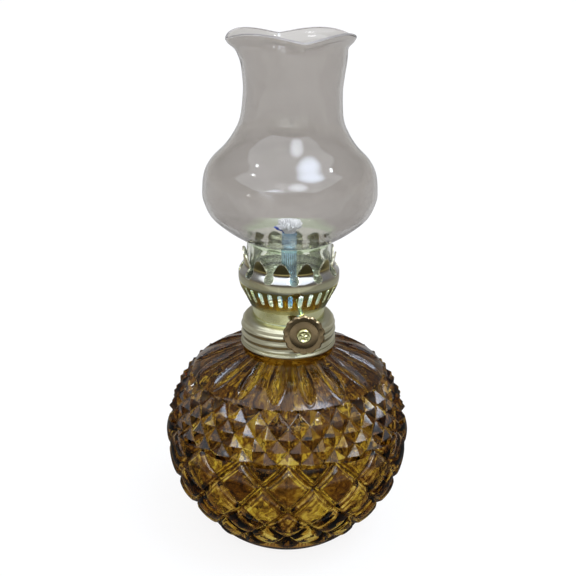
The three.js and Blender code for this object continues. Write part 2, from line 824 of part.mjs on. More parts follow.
function makeSleeve() {
  const outer = toSolid(spindleRod(sleeveRadius, drumFace + sleeveInside, drumFace - sleeveOutside, 16));
  const bore = toSolid(spindleRod(spindleBore, 0, drumFace - sleeveOutside - cutOverrun, 12));
  return toGeometry(outer.subtract(bore));
}

// A turned piece on the spindle: points are [radius, distance forward of a plane across Y]
function turnedOnSpindle(points, plane, segments) {
  const outline = points.map(([radius, forward]) => new THREE.Vector2(radius, forward));
  const piece = new THREE.LatheGeometry(outline, segments).rotateX(Math.PI);
  return piece.translate(spindleX, plane, spindleHeight);
}

// Knob: a scalloped sheet disc with a pressed ring and a hub behind it
function makeKnob() {
  const shape = new THREE.Shape();
  const step = (2 * Math.PI) / knobScallops;
  const point = (angle, radius) => [radius * Math.cos(angle), radius * Math.sin(angle)];
  shape.moveTo(...point(0, knobRadius - knobScallopDepth));
  for (let i = 0; i < knobScallops; i += 1) {
    const swell = knobRadius + knobScallopDepth;
    shape.quadraticCurveTo(
      ...point((i + 0.5) * step, swell),
      ...point((i + 1) * step, knobRadius - knobScallopDepth),
    );
  }
  const disc = toSolid(spindlePlate(shape, knobThickness, (knobBack + knobFace) / 2, 4));
  const hub = spindleRod(knobHubRadius, knobBack + knobHubLength, (knobBack + knobFace) / 2, 16);
  const groove = turnedOnSpindle(
    [
      [knobGrooveRadius - knobGrooveWidth / 2, -knobGrooveDepth],
      [knobGrooveRadius + knobGrooveWidth / 2, -knobGrooveDepth],
      [knobGrooveRadius + knobGrooveWidth / 2, cutOverrun],
      [knobGrooveRadius - knobGrooveWidth / 2, cutOverrun],
      [knobGrooveRadius - knobGrooveWidth / 2, -knobGrooveDepth],
    ],
    knobFace,
    24,
  );
  const bore = spindleRod(spindleBore, 0, knobFace - cutOverrun, 12);
  return toGeometry(disc.add(toSolid(hub)).subtract(toSolid(groove)).subtract(toSolid(bore)));
}

// Rivet head that closes the spindle's end on the knob, with a dimple
function makeRivet() {
  const outline = [
    [0, 0],
    [rivetRadius, 0],
    [rivetRadius * 0.93, rivetHeight * 0.6],
    [rivetRadius * 0.66, rivetHeight],
    [rivetRadius * 0.36, rivetHeight - rivetDimple],
    [0, rivetHeight - rivetDimple],
  ];
  return turnedOnSpindle(outline, knobFace - seatGap, 16);
}

// Chimney: a loop of points up the outside and down the inside, the rim waved in four lobes
function makeChimney() {
  const at = (share) => chimneyFold + chimneyRise * share;
  const between = (from, to, share) => THREE.MathUtils.lerp(from, to, share);
  const outside = [
    [fitterRadius, fitterBottom],
    [fitterRadius, chimneyFold],
    [between(fitterRadius, bulbRadius, 0.24), at(0.026)],
    [between(fitterRadius, bulbRadius, 0.56), at(0.076)],
    [between(fitterRadius, bulbRadius, 0.845), at(0.136)],
    [between(fitterRadius, bulbRadius, 0.98), at(0.205)],
    [bulbRadius, at(0.25)],
    [between(waistRadius, bulbRadius, 0.95), at(0.333)],
    [between(waistRadius, bulbRadius, 0.78), at(0.396)],
    [between(waistRadius, bulbRadius, 0.47), at(0.459)],
    [between(waistRadius, bulbRadius, 0.235), at(0.525)],
    [between(waistRadius, bulbRadius, 0.06), at(0.605)],
    [waistRadius, at(0.73)],
    [between(waistRadius, rimRadius, 0.07), at(0.807)],
    [between(waistRadius, rimRadius, 0.29), at(0.908)],
    [between(waistRadius, rimRadius, 0.41), at(0.95)],
    [between(waistRadius, rimRadius, 0.82), at(0.98)],
    [rimRadius, at(1)],
  ];
  const inside = outside.map(([radius, height], i) => {
    const before = outside[Math.max(i - 1, 0)];
    const after = outside[Math.min(i + 1, outside.length - 1)];
    const along = new THREE.Vector2(after[0] - before[0], after[1] - before[1]).normalize();
    const atEnd = i === 0 || i === outside.length - 1;
    return [radius - glassWall * (atEnd ? 1 : along.y), height + (atEnd ? 0 : glassWall * along.x)];
  });
  const loop = [...outside, ...inside.reverse()];
  const segments = 32;
  const waveStart = at(0.86);
  const skin = new Skin();
  const rings = loop.map(([radius, height]) => {
    const wave = THREE.MathUtils.smoothstep(height, waveStart, at(1));
    const lean = flueLean * THREE.MathUtils.smoothstep(height, at(0.35), at(0.9));
    return Array.from({ length: segments }, (_, i) => {
      const azimuth = (i * 2 * Math.PI) / segments;
      const lobe = 2 * Math.abs(Math.sin((rimLobes / 2) * (azimuth - rimTurn))) - 1;
      const aside = (lean - wave * rimSlip) * Math.sin(azimuth);
      const reach = radius - wave * rimCrimpReach * lobe + aside;
      const rise = wave * (rimCrimpRise * lobe + rimLean * Math.cos(azimuth));
      return { index: skin.vertex(placeAt(reach, azimuth, height + rise)), azimuth };
    });
  });
  rings.forEach((lower, i) => skin.zip(lower, rings[(i + 1) % rings.length]));
  return skin.geometry();
}

const pieces = {
  font: [makeFont(), amberGlass],
  neck_gasket: [makeGasket(), fibre],
  screw_collar: [makeCollar(), satinBrass],
  burner_floor: [makeFloor(), paleBrass],
  burner_drum: [makeDrum(), paleBrass],
  prong_crown: [makeCrown(), paleBrass],
  air_deck: [makeDeck(), zincSteel],
  wick_tube: [makeTube(), zincSteel],
  sprocket_housing: [makeHousing(), paleBrass],
  spindle_sleeve: [makeSleeve(), paleBrass],
  spindle: [makeSpindle(), zincSteel],
  wick_wheel_front: [makeWheel(-1), zincSteel],
  wick_wheel_back: [makeWheel(1), zincSteel],
  wheel_spacer: [makeWheelSpacer(), paleBrass],
  knob: [makeKnob(), darkBrass],
  knob_rivet: [makeRivet(), satinBrass],
  wick: [makeWick(), whiteCotton],
  wick_tail: [makeWickTail(), whiteCotton],
  chimney: [makeChimney(), clearGlass],
};

const lamp = new THREE.Group();
lamp.name = "kerosene_lamp";
for (const [name, [geometry, material]] of Object.entries(pieces)) {
  const mesh = new THREE.Mesh(geometry, material);
  mesh.name = name;
  lamp.add(mesh);
}

export default lamp;
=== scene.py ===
# %% [markdown]
# # A kerosene table lamp
#
# The lamp has a pressed glass bowl for the fuel (its *font*), a brass burner that screws onto the
# bowl's neck, a round cotton wick with a toothed wheel and a knob to raise it, and a thin blown glass
# chimney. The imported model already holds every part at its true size. This lesson dresses it: the
# glass gets its fine pressed pattern, the sheet brass its stampings, the wick its fibres, and every
# part its material.
#
# Everything is in metres, Z is up, and the front of the lamp, with the knob, faces -Y.

# %% Load the frame
import math
import random

import bmesh
import bpy
import numpy as np
from mathutils import Euler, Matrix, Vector
from mathutils.geometry import delaunay_2d_cdt


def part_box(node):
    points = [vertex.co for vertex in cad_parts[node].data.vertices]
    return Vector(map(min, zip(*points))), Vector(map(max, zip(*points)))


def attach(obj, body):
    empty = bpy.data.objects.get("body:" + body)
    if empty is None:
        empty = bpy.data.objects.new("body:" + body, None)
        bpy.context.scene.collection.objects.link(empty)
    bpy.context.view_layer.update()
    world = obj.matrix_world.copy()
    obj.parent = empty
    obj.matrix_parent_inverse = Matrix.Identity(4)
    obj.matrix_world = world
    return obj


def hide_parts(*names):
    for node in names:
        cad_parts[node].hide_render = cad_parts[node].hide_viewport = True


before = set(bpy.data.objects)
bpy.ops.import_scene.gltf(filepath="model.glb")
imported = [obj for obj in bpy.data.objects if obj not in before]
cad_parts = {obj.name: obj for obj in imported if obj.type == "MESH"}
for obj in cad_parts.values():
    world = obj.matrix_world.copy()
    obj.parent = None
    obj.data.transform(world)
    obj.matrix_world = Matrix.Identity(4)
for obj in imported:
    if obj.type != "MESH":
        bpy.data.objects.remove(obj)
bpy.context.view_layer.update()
MM = 0.001
TURN = 2 * math.pi


def put_in_scene(name, data):
    thing = bpy.data.objects.new(name, data)
    bpy.context.scene.collection.objects.link(thing)
    return thing


print("parts in the frame:", len(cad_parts))

# %% [markdown]
# ## The camera
#
# The picture looks slightly down on the lamp from the height of a person's eyes at a table. A camera
# could be aimed with a tracking constraint, but plain numbers are easier to keep: a place, a downward
# tilt, and a small roll because the picture was taken a little askew.

# %% Camera
IMAGE_PIXELS = 576
SENSOR = 36.0  # millimetres, as Blender counts lenses
FOCAL_PIXELS = 1062.0
camera_tilt = math.radians(21.4)
camera_roll = math.radians(0.65)

camera_data = bpy.data.cameras.new("camera")
camera_data.sensor_width = SENSOR
camera_data.lens = SENSOR * FOCAL_PIXELS / IMAGE_PIXELS
camera = put_in_scene("camera", camera_data)
camera.location = (-0.0003, -0.4004, 0.2679)
looking = Euler((math.pi / 2 - camera_tilt, 0, 0)).to_quaternion()
rolling = Euler((0, 0, camera_roll)).to_quaternion()
camera.rotation_mode = "QUATERNION"
camera.rotation_quaternion = looking @ rolling
bpy.context.scene.camera = camera
print("lens in mm:", round(camera_data.lens, 1))

# %% [markdown]
# ## Helpers for making meshes
#
# Most of the lamp is round. Blender's Screw modifier turns a profile, but it can't press a pattern
# into the surface. So the turned pieces are made as a grid of rings: each ring has a radius and a
# height, and a relief pushes its points in or out along the surface's normal.

# %% Profiles
def between(low, high, share):
    return low + (high - low) * share


def soft_step(value, low, high):
    t = np.clip((value - low) / (high - low), 0, 1)
    return t * t * (3 - 2 * t)


def soft_abs(value, softness):
    return np.sqrt(value**2 + softness**2) - softness


def around_corner(radius, height, offsets_mm):
    """Profile points at offsets in millimetres from one corner."""
    return [(radius + r * MM, height + h * MM) for r, h in offsets_mm]


def smooth_profile(corners, step):
    """A smooth curve through [radius, height] points, sampled about every step."""
    corners = np.array(corners, float)
    before = np.vstack([2 * corners[0] - corners[1], corners[:-1]])
    after = np.vstack([corners[1:], 2 * corners[-1] - corners[-2]])
    slopes = (after - before) / 2
    curve = []
    for i, (a, b) in enumerate(zip(corners, corners[1:])):
        parts = max(1, round(float(np.linalg.norm(b - a)) / step))
        t = (np.arange(parts) / parts)[:, None]
        bend = slopes[i] * (t**3 - 2 * t**2 + t) + slopes[i + 1] * (t**3 - t**2)
        curve.append(a * (2 * t**3 - 3 * t**2 + 1) + b * (3 * t**2 - 2 * t**3) + bend)
    return np.vstack([*curve, corners[-1:]])


def ring_normals(profile):
    """Outward normals along a profile of [radius, height] that runs up the outside."""
    along = np.gradient(profile, axis=0)
    length = np.maximum(np.linalg.norm(along, axis=1), 1e-12)
    return np.stack([along[:, 1], -along[:, 0]], axis=1) / length[:, None]


# %% Meshes
def make_mesh(name, points, faces):
    mesh = bpy.data.meshes.new(name)
    mesh.from_pydata([tuple(p) for p in points], [], [tuple(f) for f in faces])
    mesh.polygons.foreach_set("use_smooth", [True] * len(mesh.polygons))
    mesh.update()
    return put_in_scene(name, mesh)


def grid_faces(rings, columns, closed_rings=False):
    """Quads between rings of points that run round the axis; the last ring may meet the first."""
    last = rings if closed_rings else rings - 1
    low = np.arange(last)[:, None] * columns
    high = (np.arange(last)[:, None] + 1) % rings * columns
    here = np.arange(columns)[None, :]
    beside = (here + 1) % columns
    quads = np.stack([low + here, low + beside, high + beside, high + here], axis=-1)
    return quads.reshape(-1, 4).tolist()


def round_azimuths(columns):
    return (np.arange(columns) * TURN / columns)[None, :]


def round_points(radius, height, azimuth):
    """Points of a grid; azimuth 0 is the front, -Y, and grows towards +X."""
    azimuth = np.broadcast_to(azimuth, np.shape(radius))
    return np.stack([radius * np.sin(azimuth), -radius * np.cos(azimuth), height], axis=-1).reshape(-1, 3)


def turned_piece(name, profile, columns, relief=0, closed=True):
    """A piece turned from a profile; the relief at every azimuth is added along the normal."""
    profile = np.array(profile, float)
    normals = ring_normals(profile)
    depth = np.zeros((len(profile), columns)) + relief
    radius = profile[:, :1] + normals[:, :1] * depth
    height = profile[:, 1:] + normals[:, 1:] * depth
    points = round_points(radius, height, round_azimuths(columns))
    return make_mesh(name, points, grid_faces(len(profile), columns, closed))


def sharpen(piece, degrees=35):
    """Keeps edges sharper than an angle crisp in the shading."""
    piece.data.set_sharp_from_angle(angle=math.radians(degrees))


def finish_piece(piece, body, material, replaced=()):
    piece.data.materials.clear()
    piece.data.materials.append(material)
    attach(piece, body)
    if replaced:
        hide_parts(*replaced)


def away_from_axis(face):
    """Above 0 where a face looks away from the lamp's axis, and below 0 where it looks at it."""
    return face.normal.dot(Vector((face.center.x, face.center.y, 0)))


def paint_inside(piece, material):
    """Gives the faces that look at the axis a material of their own."""
    piece.data.materials.append(material)
    for face in piece.data.polygons:
        if away_from_axis(face) < 0:
            face.material_index = len(piece.data.materials) - 1


print("helpers are ready")

# %% [markdown]
# ## The hanging wick
#
# Below the burner the cotton wick hangs free in the fuel space, straight down under its own weight.
# A curve with a round bevel is the simplest true cord: its line is the cord's middle, and its bevel
# is half the cord's thickness.

# %% Wick tail
tail_low, tail_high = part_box("wick_tail")
tail_radius = 2.2 * MM
tail_points = 16
tail_curve = bpy.data.curves.new("hanging_wick", "CURVE")
tail_curve.dimensions = "3D"
tail_curve.bevel_depth = tail_radius
tail_curve.bevel_resolution = 3
tail_curve.use_fill_caps = True
tail_spline = tail_curve.splines.new("POLY")
tail_spline.points.add(tail_points - 1)
for i, point in enumerate(tail_spline.points):
    point.co = (0, 0, between(tail_high.z, tail_low.z, i / (tail_points - 1)), 1)
wick_tail = put_in_scene("hanging_wick", tail_curve)

# %% [markdown]
# ## Effects that several finishes share
#
# Handling leaves the same traces on glass and on brass: cloudy patches and fine dust. Sheet and glass
# both ripple a little. And the chimney's tint changes with height, at its fold and its fitter. Built
# once as node groups, these can be placed in each material with other values. Each group only puts
# out masks and heights. The shaders stay in the materials. All of them use object coordinates, so
# that the marks move with the part.

# %% Node helpers
def plug(tree, socket, source):
    """Feeds a socket from another socket, or sets it to a plain number, colour or vector."""
    if isinstance(source, bpy.types.NodeSocket):
        tree.links.new(source, socket)
    elif socket.type == "RGBA":
        socket.default_value = (*source, 1)
    else:
        socket.default_value = source


def feed(tree, node, **sources):
    """Plugs inputs by name; an underscore stands for the space in a name."""
    for name, source in sources.items():
        plug(tree, node.inputs[name.replace("_", " ")], source)


def add(tree, kind, values=None, **settings):
    """A node with its settings; values maps its inputs' names to sockets or plain values."""
    node = tree.nodes.new(kind)
    for name, value in settings.items():
        setattr(node, name, value)
    feed(tree, node, **(values or {}))
    return node


def calculate(tree, operation, *operands, clamp=False):
    """A Math node; each operand is a socket or a plain number."""
    node = add(tree, "ShaderNodeMath", operation=operation, use_clamp=clamp)
    for socket, operand in zip(node.inputs, operands):
        plug(tree, socket, operand)
    return node.outputs[0]


def remap(tree, value, low, high, to_low=0.0, to_high=1.0, smooth=False):
    """What lies between two ends becomes what lies between two others, and stays there."""
    node = add(tree, "ShaderNodeMapRange", {
        "Value": value, "From Min": low, "From Max": high, "To Min": to_low, "To Max": to_high,
    }, interpolation_type="SMOOTHSTEP" if smooth else "LINEAR")
    return node.outputs["Result"]


def own_place(tree):
    return add(tree, "ShaderNodeTexCoord").outputs["Object"]


def parts_of(tree, vector):
    """The X, Y and Z of a vector."""
    return tuple(add(tree, "ShaderNodeSeparateXYZ", {"Vector": vector}).outputs)


def light_path(tree):
    return add(tree, "ShaderNodeLightPath").outputs


def noise(tree, scale, detail, roughness):
    node = add(tree, "ShaderNodeTexNoise", {
        "Vector": own_place(tree), "Scale": scale, "Detail": detail, "Roughness": roughness})
    return node.outputs["Fac"]


def cloudy(tree, scale, low, high, detail=3.0):
    """Noise turned into a mask that is 0 below low and 1 above high."""
    return remap(tree, noise(tree, scale, detail, 0.6), low, high)


def new_group(name, inputs, output):
    """A node group with number inputs and one output, its tree and the outputs of its entry."""
    group = bpy.data.node_groups.new(name, "ShaderNodeTree")
    for title, value in inputs.items():
        socket = group.interface.new_socket(name=title, in_out="INPUT", socket_type="NodeSocketFloat")
        socket.default_value = value
    group.interface.new_socket(name=output, in_out="OUTPUT", socket_type="NodeSocketFloat")
    entry = add(group, "NodeGroupInput")
    leave = add(group, "NodeGroupOutput")
    return group, entry.outputs, leave


def place_group(tree, group, **values):
    """A node group in a tree, with its inputs set; gives its one output."""
    node = add(tree, "ShaderNodeGroup", node_tree=group)
    feed(tree, node, **values)
    return node.outputs[0]


# %% Handling marks group
marks_group, entry, leave = new_group("Handling Marks", {"Smears": 1.0, "Dust": 1.0}, "Mask")
smears = calculate(marks_group, "MULTIPLY", cloudy(marks_group, 90.0, 0.48, 0.72), entry["Smears"])
dust = calculate(marks_group, "MULTIPLY", cloudy(marks_group, 1400.0, 0.6, 0.75, 1.0), entry["Dust"])
feed(marks_group, leave, Mask=calculate(marks_group, "ADD", smears, dust, clamp=True))

# %% Ripple group
ripple_group, entry, leave = new_group("Surface Ripple", {"Scale": 60.0}, "Height")
feed(ripple_group, leave, Height=noise(ripple_group, entry["Scale"], 2.0, 0.5))

# %% Height band group
band_group, entry, leave = new_group("Height Band", {"Low": 0.0, "High": 0.01, "Fade": 0.001}, "Mask")
height = parts_of(band_group, own_place(band_group))[2]
band_start = calculate(band_group, "SUBTRACT", entry["Low"], entry["Fade"])
band_end = calculate(band_group, "ADD", entry["High"], entry["Fade"])
rise = remap(band_group, height, band_start, entry["Low"], smooth=True)
fall = remap(band_group, height, band_end, entry["High"], smooth=True)
feed(band_group, leave, Mask=calculate(band_group, "MULTIPLY", rise, fall))
print("node groups:", [group.name for group in bpy.data.node_groups])

# %% [markdown]
# ## Glass
#
# Glass is a Principled shader with its transmission at 1. The blown chimney has a faint warm tint,
# greener at the fold above the fitter, where one looks along the wall, and its thickness takes a
# little light too. The amber bowl takes its colour from two things. A volume absorption makes thick
# places brown, because light that travels further loses more, and loses blue first. And a painted
# light tone kept at each point of the surface, written when the bowl is made, paints gold streaks and
# dark lines: painted light and shade that stand in for light bent through the pressed pattern.
#
# Cycles can't find its way through glass towards a lamp, so the wick and the burner would stand in a
# dark shadow. For shadow rays only, the glass is therefore swapped for a tinted clear shader.

# %% Material helpers
def new_material(name, **values):
    material = bpy.data.materials.new(name)
    material.use_nodes = True
    shader = material.node_tree.nodes["Principled BSDF"]
    feed(material.node_tree, shader, **values)
    return material, material.node_tree, shader


def mix_colours(tree, mask, low, high):
    """A mix of two colours; each is a socket or a plain colour."""
    mix = add(tree, "ShaderNodeMix", {"A": low, "B": high, "Factor": mask}, data_type="RGBA")
    return mix.outputs["Result"]


def mix_shaders(tree, mask, first, second):
    """Puts a mix of two shaders on the surface."""
    mix = add(tree, "ShaderNodeMixShader", {"Fac": mask})
    plug(tree, mix.inputs[1], first.outputs[0])
    plug(tree, mix.inputs[2], second.outputs[0])
    feed(tree, tree.nodes["Material Output"], Surface=mix.outputs[0])


def colour_ramp(tree, value, colours):
    """A Color Ramp over a value; each stop is a share and a colour."""
    ramp = add(tree, "ShaderNodeValToRGB", {"Fac": value})
    stops = ramp.color_ramp.elements
    for _ in colours[2:]:
        stops.new(0.5)
    for stop, (share, colour) in zip(stops, colours):
        stop.position = share
        stop.color = (*colour, 1)
    return ramp.outputs["Color"]


def add_bump(tree, shader, height, strength, distance):
    bump = add(tree, "ShaderNodeBump", {"Strength": strength, "Distance": distance, "Height": height})
    feed(tree, shader, Normal=bump.outputs["Normal"])


def absorb(tree, colour, density):
    """Light that travels through the glass keeps this colour and loses the rest."""
    loss = add(tree, "ShaderNodeVolumeAbsorption", {"Color": colour, "Density": density})
    feed(tree, tree.nodes["Material Output"], Volume=loss.outputs["Volume"])


# %% Clear glass
GLASS_INDEX = 1.45


def glass(name, soiled_roughness, smears, dust, ripple, ripple_strength, lamp_tint):
    material, tree, shader = new_material(name, Transmission_Weight=1.0, IOR=GLASS_INDEX, Metallic=0.0)
    marks = place_group(tree, marks_group, Smears=smears, Dust=dust)
    feed(tree, shader, Roughness=remap(tree, marks, 0, 1, 0.0, soiled_roughness))
    add_bump(tree, shader, place_group(tree, ripple_group, Scale=ripple), ripple_strength, 1.0 * MM)
    clear = add(tree, "ShaderNodeBsdfTransparent", {"Color": lamp_tint})
    mix_shaders(tree, light_path(tree)["Is Shadow Ray"], shader, clear)
    return material, tree, shader, marks


fold_height = 132.95 * MM
warm_tint, soiled_tint = (0.68, 0.655, 0.63), (0.64, 0.615, 0.585)
fold_tint, fitter_tint = (0.76, 0.84, 0.68), (0.90, 0.92, 0.84)
wall_keeps, wall_density = (0, 0, 0), 95.0
clear_glass, clear_tree, clear_shader, clear_marks = glass(
    "Blown clear glass", soiled_roughness=0.06, smears=0.6, dust=0.5, ripple=28.0, ripple_strength=0.12,
    lamp_tint=(0.95, 0.94, 0.93))
wall_tint = mix_colours(clear_tree, clear_marks, warm_tint, soiled_tint)
# Each band's ends and fade are in millimetres from the fold.
for tint, low, high, fade in ((fitter_tint, -40, -1.5, 1.2), (fold_tint, -1.0, 0.9, 0.7)):
    ends = {"Low": fold_height + low * MM, "High": fold_height + high * MM, "Fade": fade * MM}
    wall_tint = mix_colours(clear_tree, place_group(clear_tree, band_group, **ends), wall_tint, tint)
feed(clear_tree, clear_shader, Base_Color=wall_tint)
absorb(clear_tree, wall_keeps, wall_density)
# The rim is partly pale and not clear: a painted highlight on the rounded glass.
rim_glass_painted_highlight = new_material(
    "Fire polished rim with painted highlight", Base_Color=(0.74, 0.69, 0.65), Roughness=0.2, Transmission_Weight=0.6)[0]

# %% Amber glass
amber_keeps, amber_density = (0.70, 0.55, 0.06), 105.0
# The painted light tone picks the bowl's colour from these stops, from painted shade to painted light.
amber_painted_light_stops = [
    (0.0, (0.010, 0.004, 0.001)), (0.3, (0.12, 0.05, 0.012)),
    (0.6, (0.50, 0.35, 0.08)), (1.0, (1.0, 1.0, 0.5)),
]
amber_glass, amber_tree, amber_shader, _ = glass(
    "Pressed amber glass", soiled_roughness=0.05, smears=0.4, dust=0.3, ripple=160.0, ripple_strength=0.15,
    lamp_tint=(0.72, 0.52, 0.26))
painted_light_tone = add(amber_tree, "ShaderNodeAttribute", attribute_name="painted_light_tone")
feed(amber_tree, amber_shader, Base_Color=colour_ramp(amber_tree, painted_light_tone.outputs["Fac"], amber_painted_light_stops))
absorb(amber_tree, amber_keeps, amber_density)
print("glass:", clear_glass.name, "and", amber_glass.name)


# %% [markdown]
# ## Metals, cotton and fibre
#
# Plated sheet brass is bright where it is clean and darker and duller where hands have been. The crown's
# bands by height are painted light and shade.
# All metals here are one recipe with other colours: a handling mask drives colour and roughness
# together, and a long ripple in the normal keeps reflections from being perfect.

# %% Metals
def metal(name, clean, soiled, clean_roughness, soiled_roughness, ripple_strength=0.1):
    material, tree, shader = new_material(name, Metallic=1.0)
    marks = place_group(tree, marks_group, Smears=1.0, Dust=0.4)
    feed(tree, shader, Base_Color=mix_colours(tree, marks, clean, soiled))
    feed(tree, shader, Roughness=remap(tree, marks, 0, 1, clean_roughness, soiled_roughness))
    add_bump(tree, shader, place_group(tree, ripple_group, Scale=70.0), ripple_strength, 0.4 * MM)
    return material


bright_brass = metal("Bright plated brass", (0.84, 0.85, 0.50), (0.66, 0.64, 0.30), 0.12, 0.3)
satin_brass = metal("Rolled satin brass", (0.66, 0.64, 0.46), (0.52, 0.49, 0.33), 0.3, 0.4, 0.03)
# The knob's brown brass is a painted reflection of the dark surroundings the flat disc faces.
knob_brass_painted_reflection = metal("Brass painted brown as a reflection", (0.30, 0.225, 0.125), (0.22, 0.165, 0.092), 0.26, 0.4)
# The pale cut edge is partly the bright cut brass and partly a painted highlight.
edge_brass_and_highlight = metal("Cut brass edge and painted highlight", (0.95, 0.93, 0.76), (0.85, 0.82, 0.6), 0.15, 0.3)
# The inside is painted pale: painted light that stands in for light bouncing round inside the burner.
inside_brass_painted_light = metal("Inside brass painted pale as bounced light", (0.86, 0.88, 0.80), (0.74, 0.76, 0.64), 0.25, 0.4)
zinc_steel = metal("Zinc plated steel", (0.48, 0.68, 0.92), (0.30, 0.44, 0.62), 0.16, 0.32)
crown_brass = metal("Crown brass with painted light bands", (0.8, 0.72, 0.36), (0.6, 0.5, 0.22), 0.1, 0.26)

# %% Crown brass with painted light bands
# The shares are of the crown's height, from its skirt to its tips. The bands are painted light and shade: a
# bright skirt, darker brass round the belly with a dark crease above it, a pale painted reflection band on
# the upper slope, a dark painted shade line at the prongs' neck, and brown prongs painted as the dark things
# they reflect.
crown_painted_light_stops = [
    (0.05, (0.97, 0.97, 0.54)), (0.13, (0.97, 0.94, 0.38)), (0.20, (0.96, 0.86, 0.26)),
    (0.43, (0.92, 0.80, 0.24)), (0.46, (0.88, 0.88, 0.64)), (0.48, (0.52, 0.51, 0.35)),
    (0.56, (0.46, 0.45, 0.30)), (0.60, (0.32, 0.29, 0.22)), (0.64, (0.56, 0.57, 0.58)),
    (0.71, (0.72, 0.73, 0.72)), (0.75, (0.12, 0.09, 0.05)), (0.775, (0.42, 0.35, 0.14)),
    (1.0, (0.52, 0.46, 0.20)),
]
# Smoked is the colour of handling marks on the crown. The near white is a painted highlight on the upper cut
# edges.
smoked, painted_edge_highlight = (0.42, 0.36, 0.16), (0.96, 0.96, 0.84)
crown_low, crown_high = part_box("prong_crown")
crown_tree = crown_brass.node_tree
crown_share = remap(crown_tree, parts_of(crown_tree, own_place(crown_tree))[2], crown_low.z, crown_high.z)
crown_marks = place_group(crown_tree, marks_group, Smears=0.5, Dust=0.3)
painted_edge_highlight_mask = add(crown_tree, "ShaderNodeAttribute", attribute_name="painted_cut_edge_highlight").outputs["Fac"]
crown_colour = mix_colours(
    crown_tree, crown_marks, colour_ramp(crown_tree, crown_share, crown_painted_light_stops), smoked)
crown_colour = mix_colours(crown_tree, painted_edge_highlight_mask, crown_colour, painted_edge_highlight)
feed(crown_tree, crown_tree.nodes["Principled BSDF"], Base_Color=crown_colour)


# %% Cotton and fibre
def cotton(name, low, high, scale):
    material, tree, shader = new_material(name, Roughness=0.95)
    fibres = cloudy(tree, scale, 0.35, 0.65)
    feed(tree, shader, Base_Color=mix_colours(tree, fibres, low, high))
    add_bump(tree, shader, fibres, 0.5, 0.2 * MM)
    return material


white_cotton = cotton("White cotton", (0.88, 0.89, 0.90), (0.97, 0.98, 1.0), 900.0)
blue_cotton = cotton("Blue marker thread", (0.03, 0.07, 0.42), (0.05, 0.13, 0.62), 900.0)
brown_fibre = cotton("Gasket fibre", (0.09, 0.06, 0.04), (0.16, 0.11, 0.07), 700.0)
finish_piece(wick_tail, "wick", white_cotton, ["wick_tail"])
print("materials:", [material.name for material in bpy.data.materials])

# %% [markdown]
# ## The font
#
# The bowl is pressed in an iron mould: a foot, six rows of large diamonds, a band of small pyramids, and
# thumb flutes on the shoulder. The relief is one formula on a lattice of columns round the bowl and
# rows up it. A point's distance to the nearest diamond's middle, counted along the lattice, is 0 at
# the middle and 1 on the groove. Rising linearly it makes a pyramid. Flat with a steep edge it makes
# a pad. Each pad is a little domed, with a fine step near its edge.

# %% Font sizes
font_radius = 50.7 * MM
bowl_height = 86 * MM
foot_radius = 19.5 * MM
hollow_radius = 11 * MM
hollow_depth = 1 * MM
neck_radius = 16.9 * MM
neck_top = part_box("font")[1].z
shoulder_radius = 19.5 * MM
glass_wall = 5.2 * MM
glass_base = 6 * MM
neck_bore = 13.2 * MM
REPEATS = 16
PAD_COLUMNS = 2 * REPEATS
PYRAMID_COLUMNS = 4 * REPEATS
COLUMNS = 10 * PYRAMID_COLUMNS
pattern_turn = math.radians(0.8)

bowl_shares = [
    (0.014, 0.427), (0.053, 0.546), (0.109, 0.651), (0.213, 0.8), (0.317, 0.912), (0.426, 0.97),
    (0.547, 1.0), (0.664, 0.972), (0.721, 0.942), (0.774, 0.908), (0.828, 0.858), (0.88, 0.788),
    (0.915, 0.711), (0.95, 0.611), (0.977, 0.496),
]
pad_row_shares = (0.116, 0.209, 0.309, 0.408, 0.547, 0.662)
pyramid_row_shares = (0.6674, 0.721, 0.774, 0.828, 0.879)
bowl_corners = [(font_radius * radius, bowl_height * height) for height, radius in bowl_shares]
bowl_curve = smooth_profile([(foot_radius, 0.0), *bowl_corners, (shoulder_radius, bowl_height)], 0.25 * MM)


# %% Diamond lattice
def lattice(azimuth, height, columns, row_shares, softness):
    """Column, row, distance to the nearest diamond's middle, and that middle's column and row."""
    column = (azimuth - pattern_turn) * columns / TURN
    row = np.interp(height, np.array(row_shares) * bowl_height, np.arange(len(row_shares)))
    a = soft_abs((column + row + 1) % 2 - 1, softness)
    b = soft_abs((column - row + 1) % 2 - 1, softness)
    distance = (a + b + soft_abs(a - b, softness)) / 2
    first, second = np.round((column + row) / 2), np.round((column - row) / 2)
    return column, row, distance, first + second, first - second


# %% Painted light of the pressed glass
def patch_value(column, row):
    """A fixed value from 0 to 1 for each diamond, which looks random."""
    return np.abs(np.sin(column * 12.9898 + row * 78.233 + 1.7) * 43.7585) % 1


def line_at(value, middle, width):
    return np.exp(-(((value - middle) / width) ** 2))


def painted_streaks(azimuth, height):
    """Curling painted light and shade, standing in for the far wall seen through the near one."""
    h = height / font_radius
    u = azimuth + 0.07 * np.sin(31 * h + 2 * np.sin(17 * azimuth)) + 0.03 * np.sin(83 * h)
    v = h + 0.06 * np.sin(23 * azimuth + 1.5 * np.sin(29 * h)) + 0.02 * np.sin(71 * azimuth)
    broad = np.sin(14 * u + 5 * v) * np.sin(19 * v - 6 * u + 1)
    middling = np.sin(37 * u + 11 * v) * np.sin(49 * v - 9 * u)
    fine = np.sin(88 * u - 31 * v) * np.sin(97 * v + 23 * u + 2)
    return 0.6 * broad + 0.6 * middling + 0.3 * fine


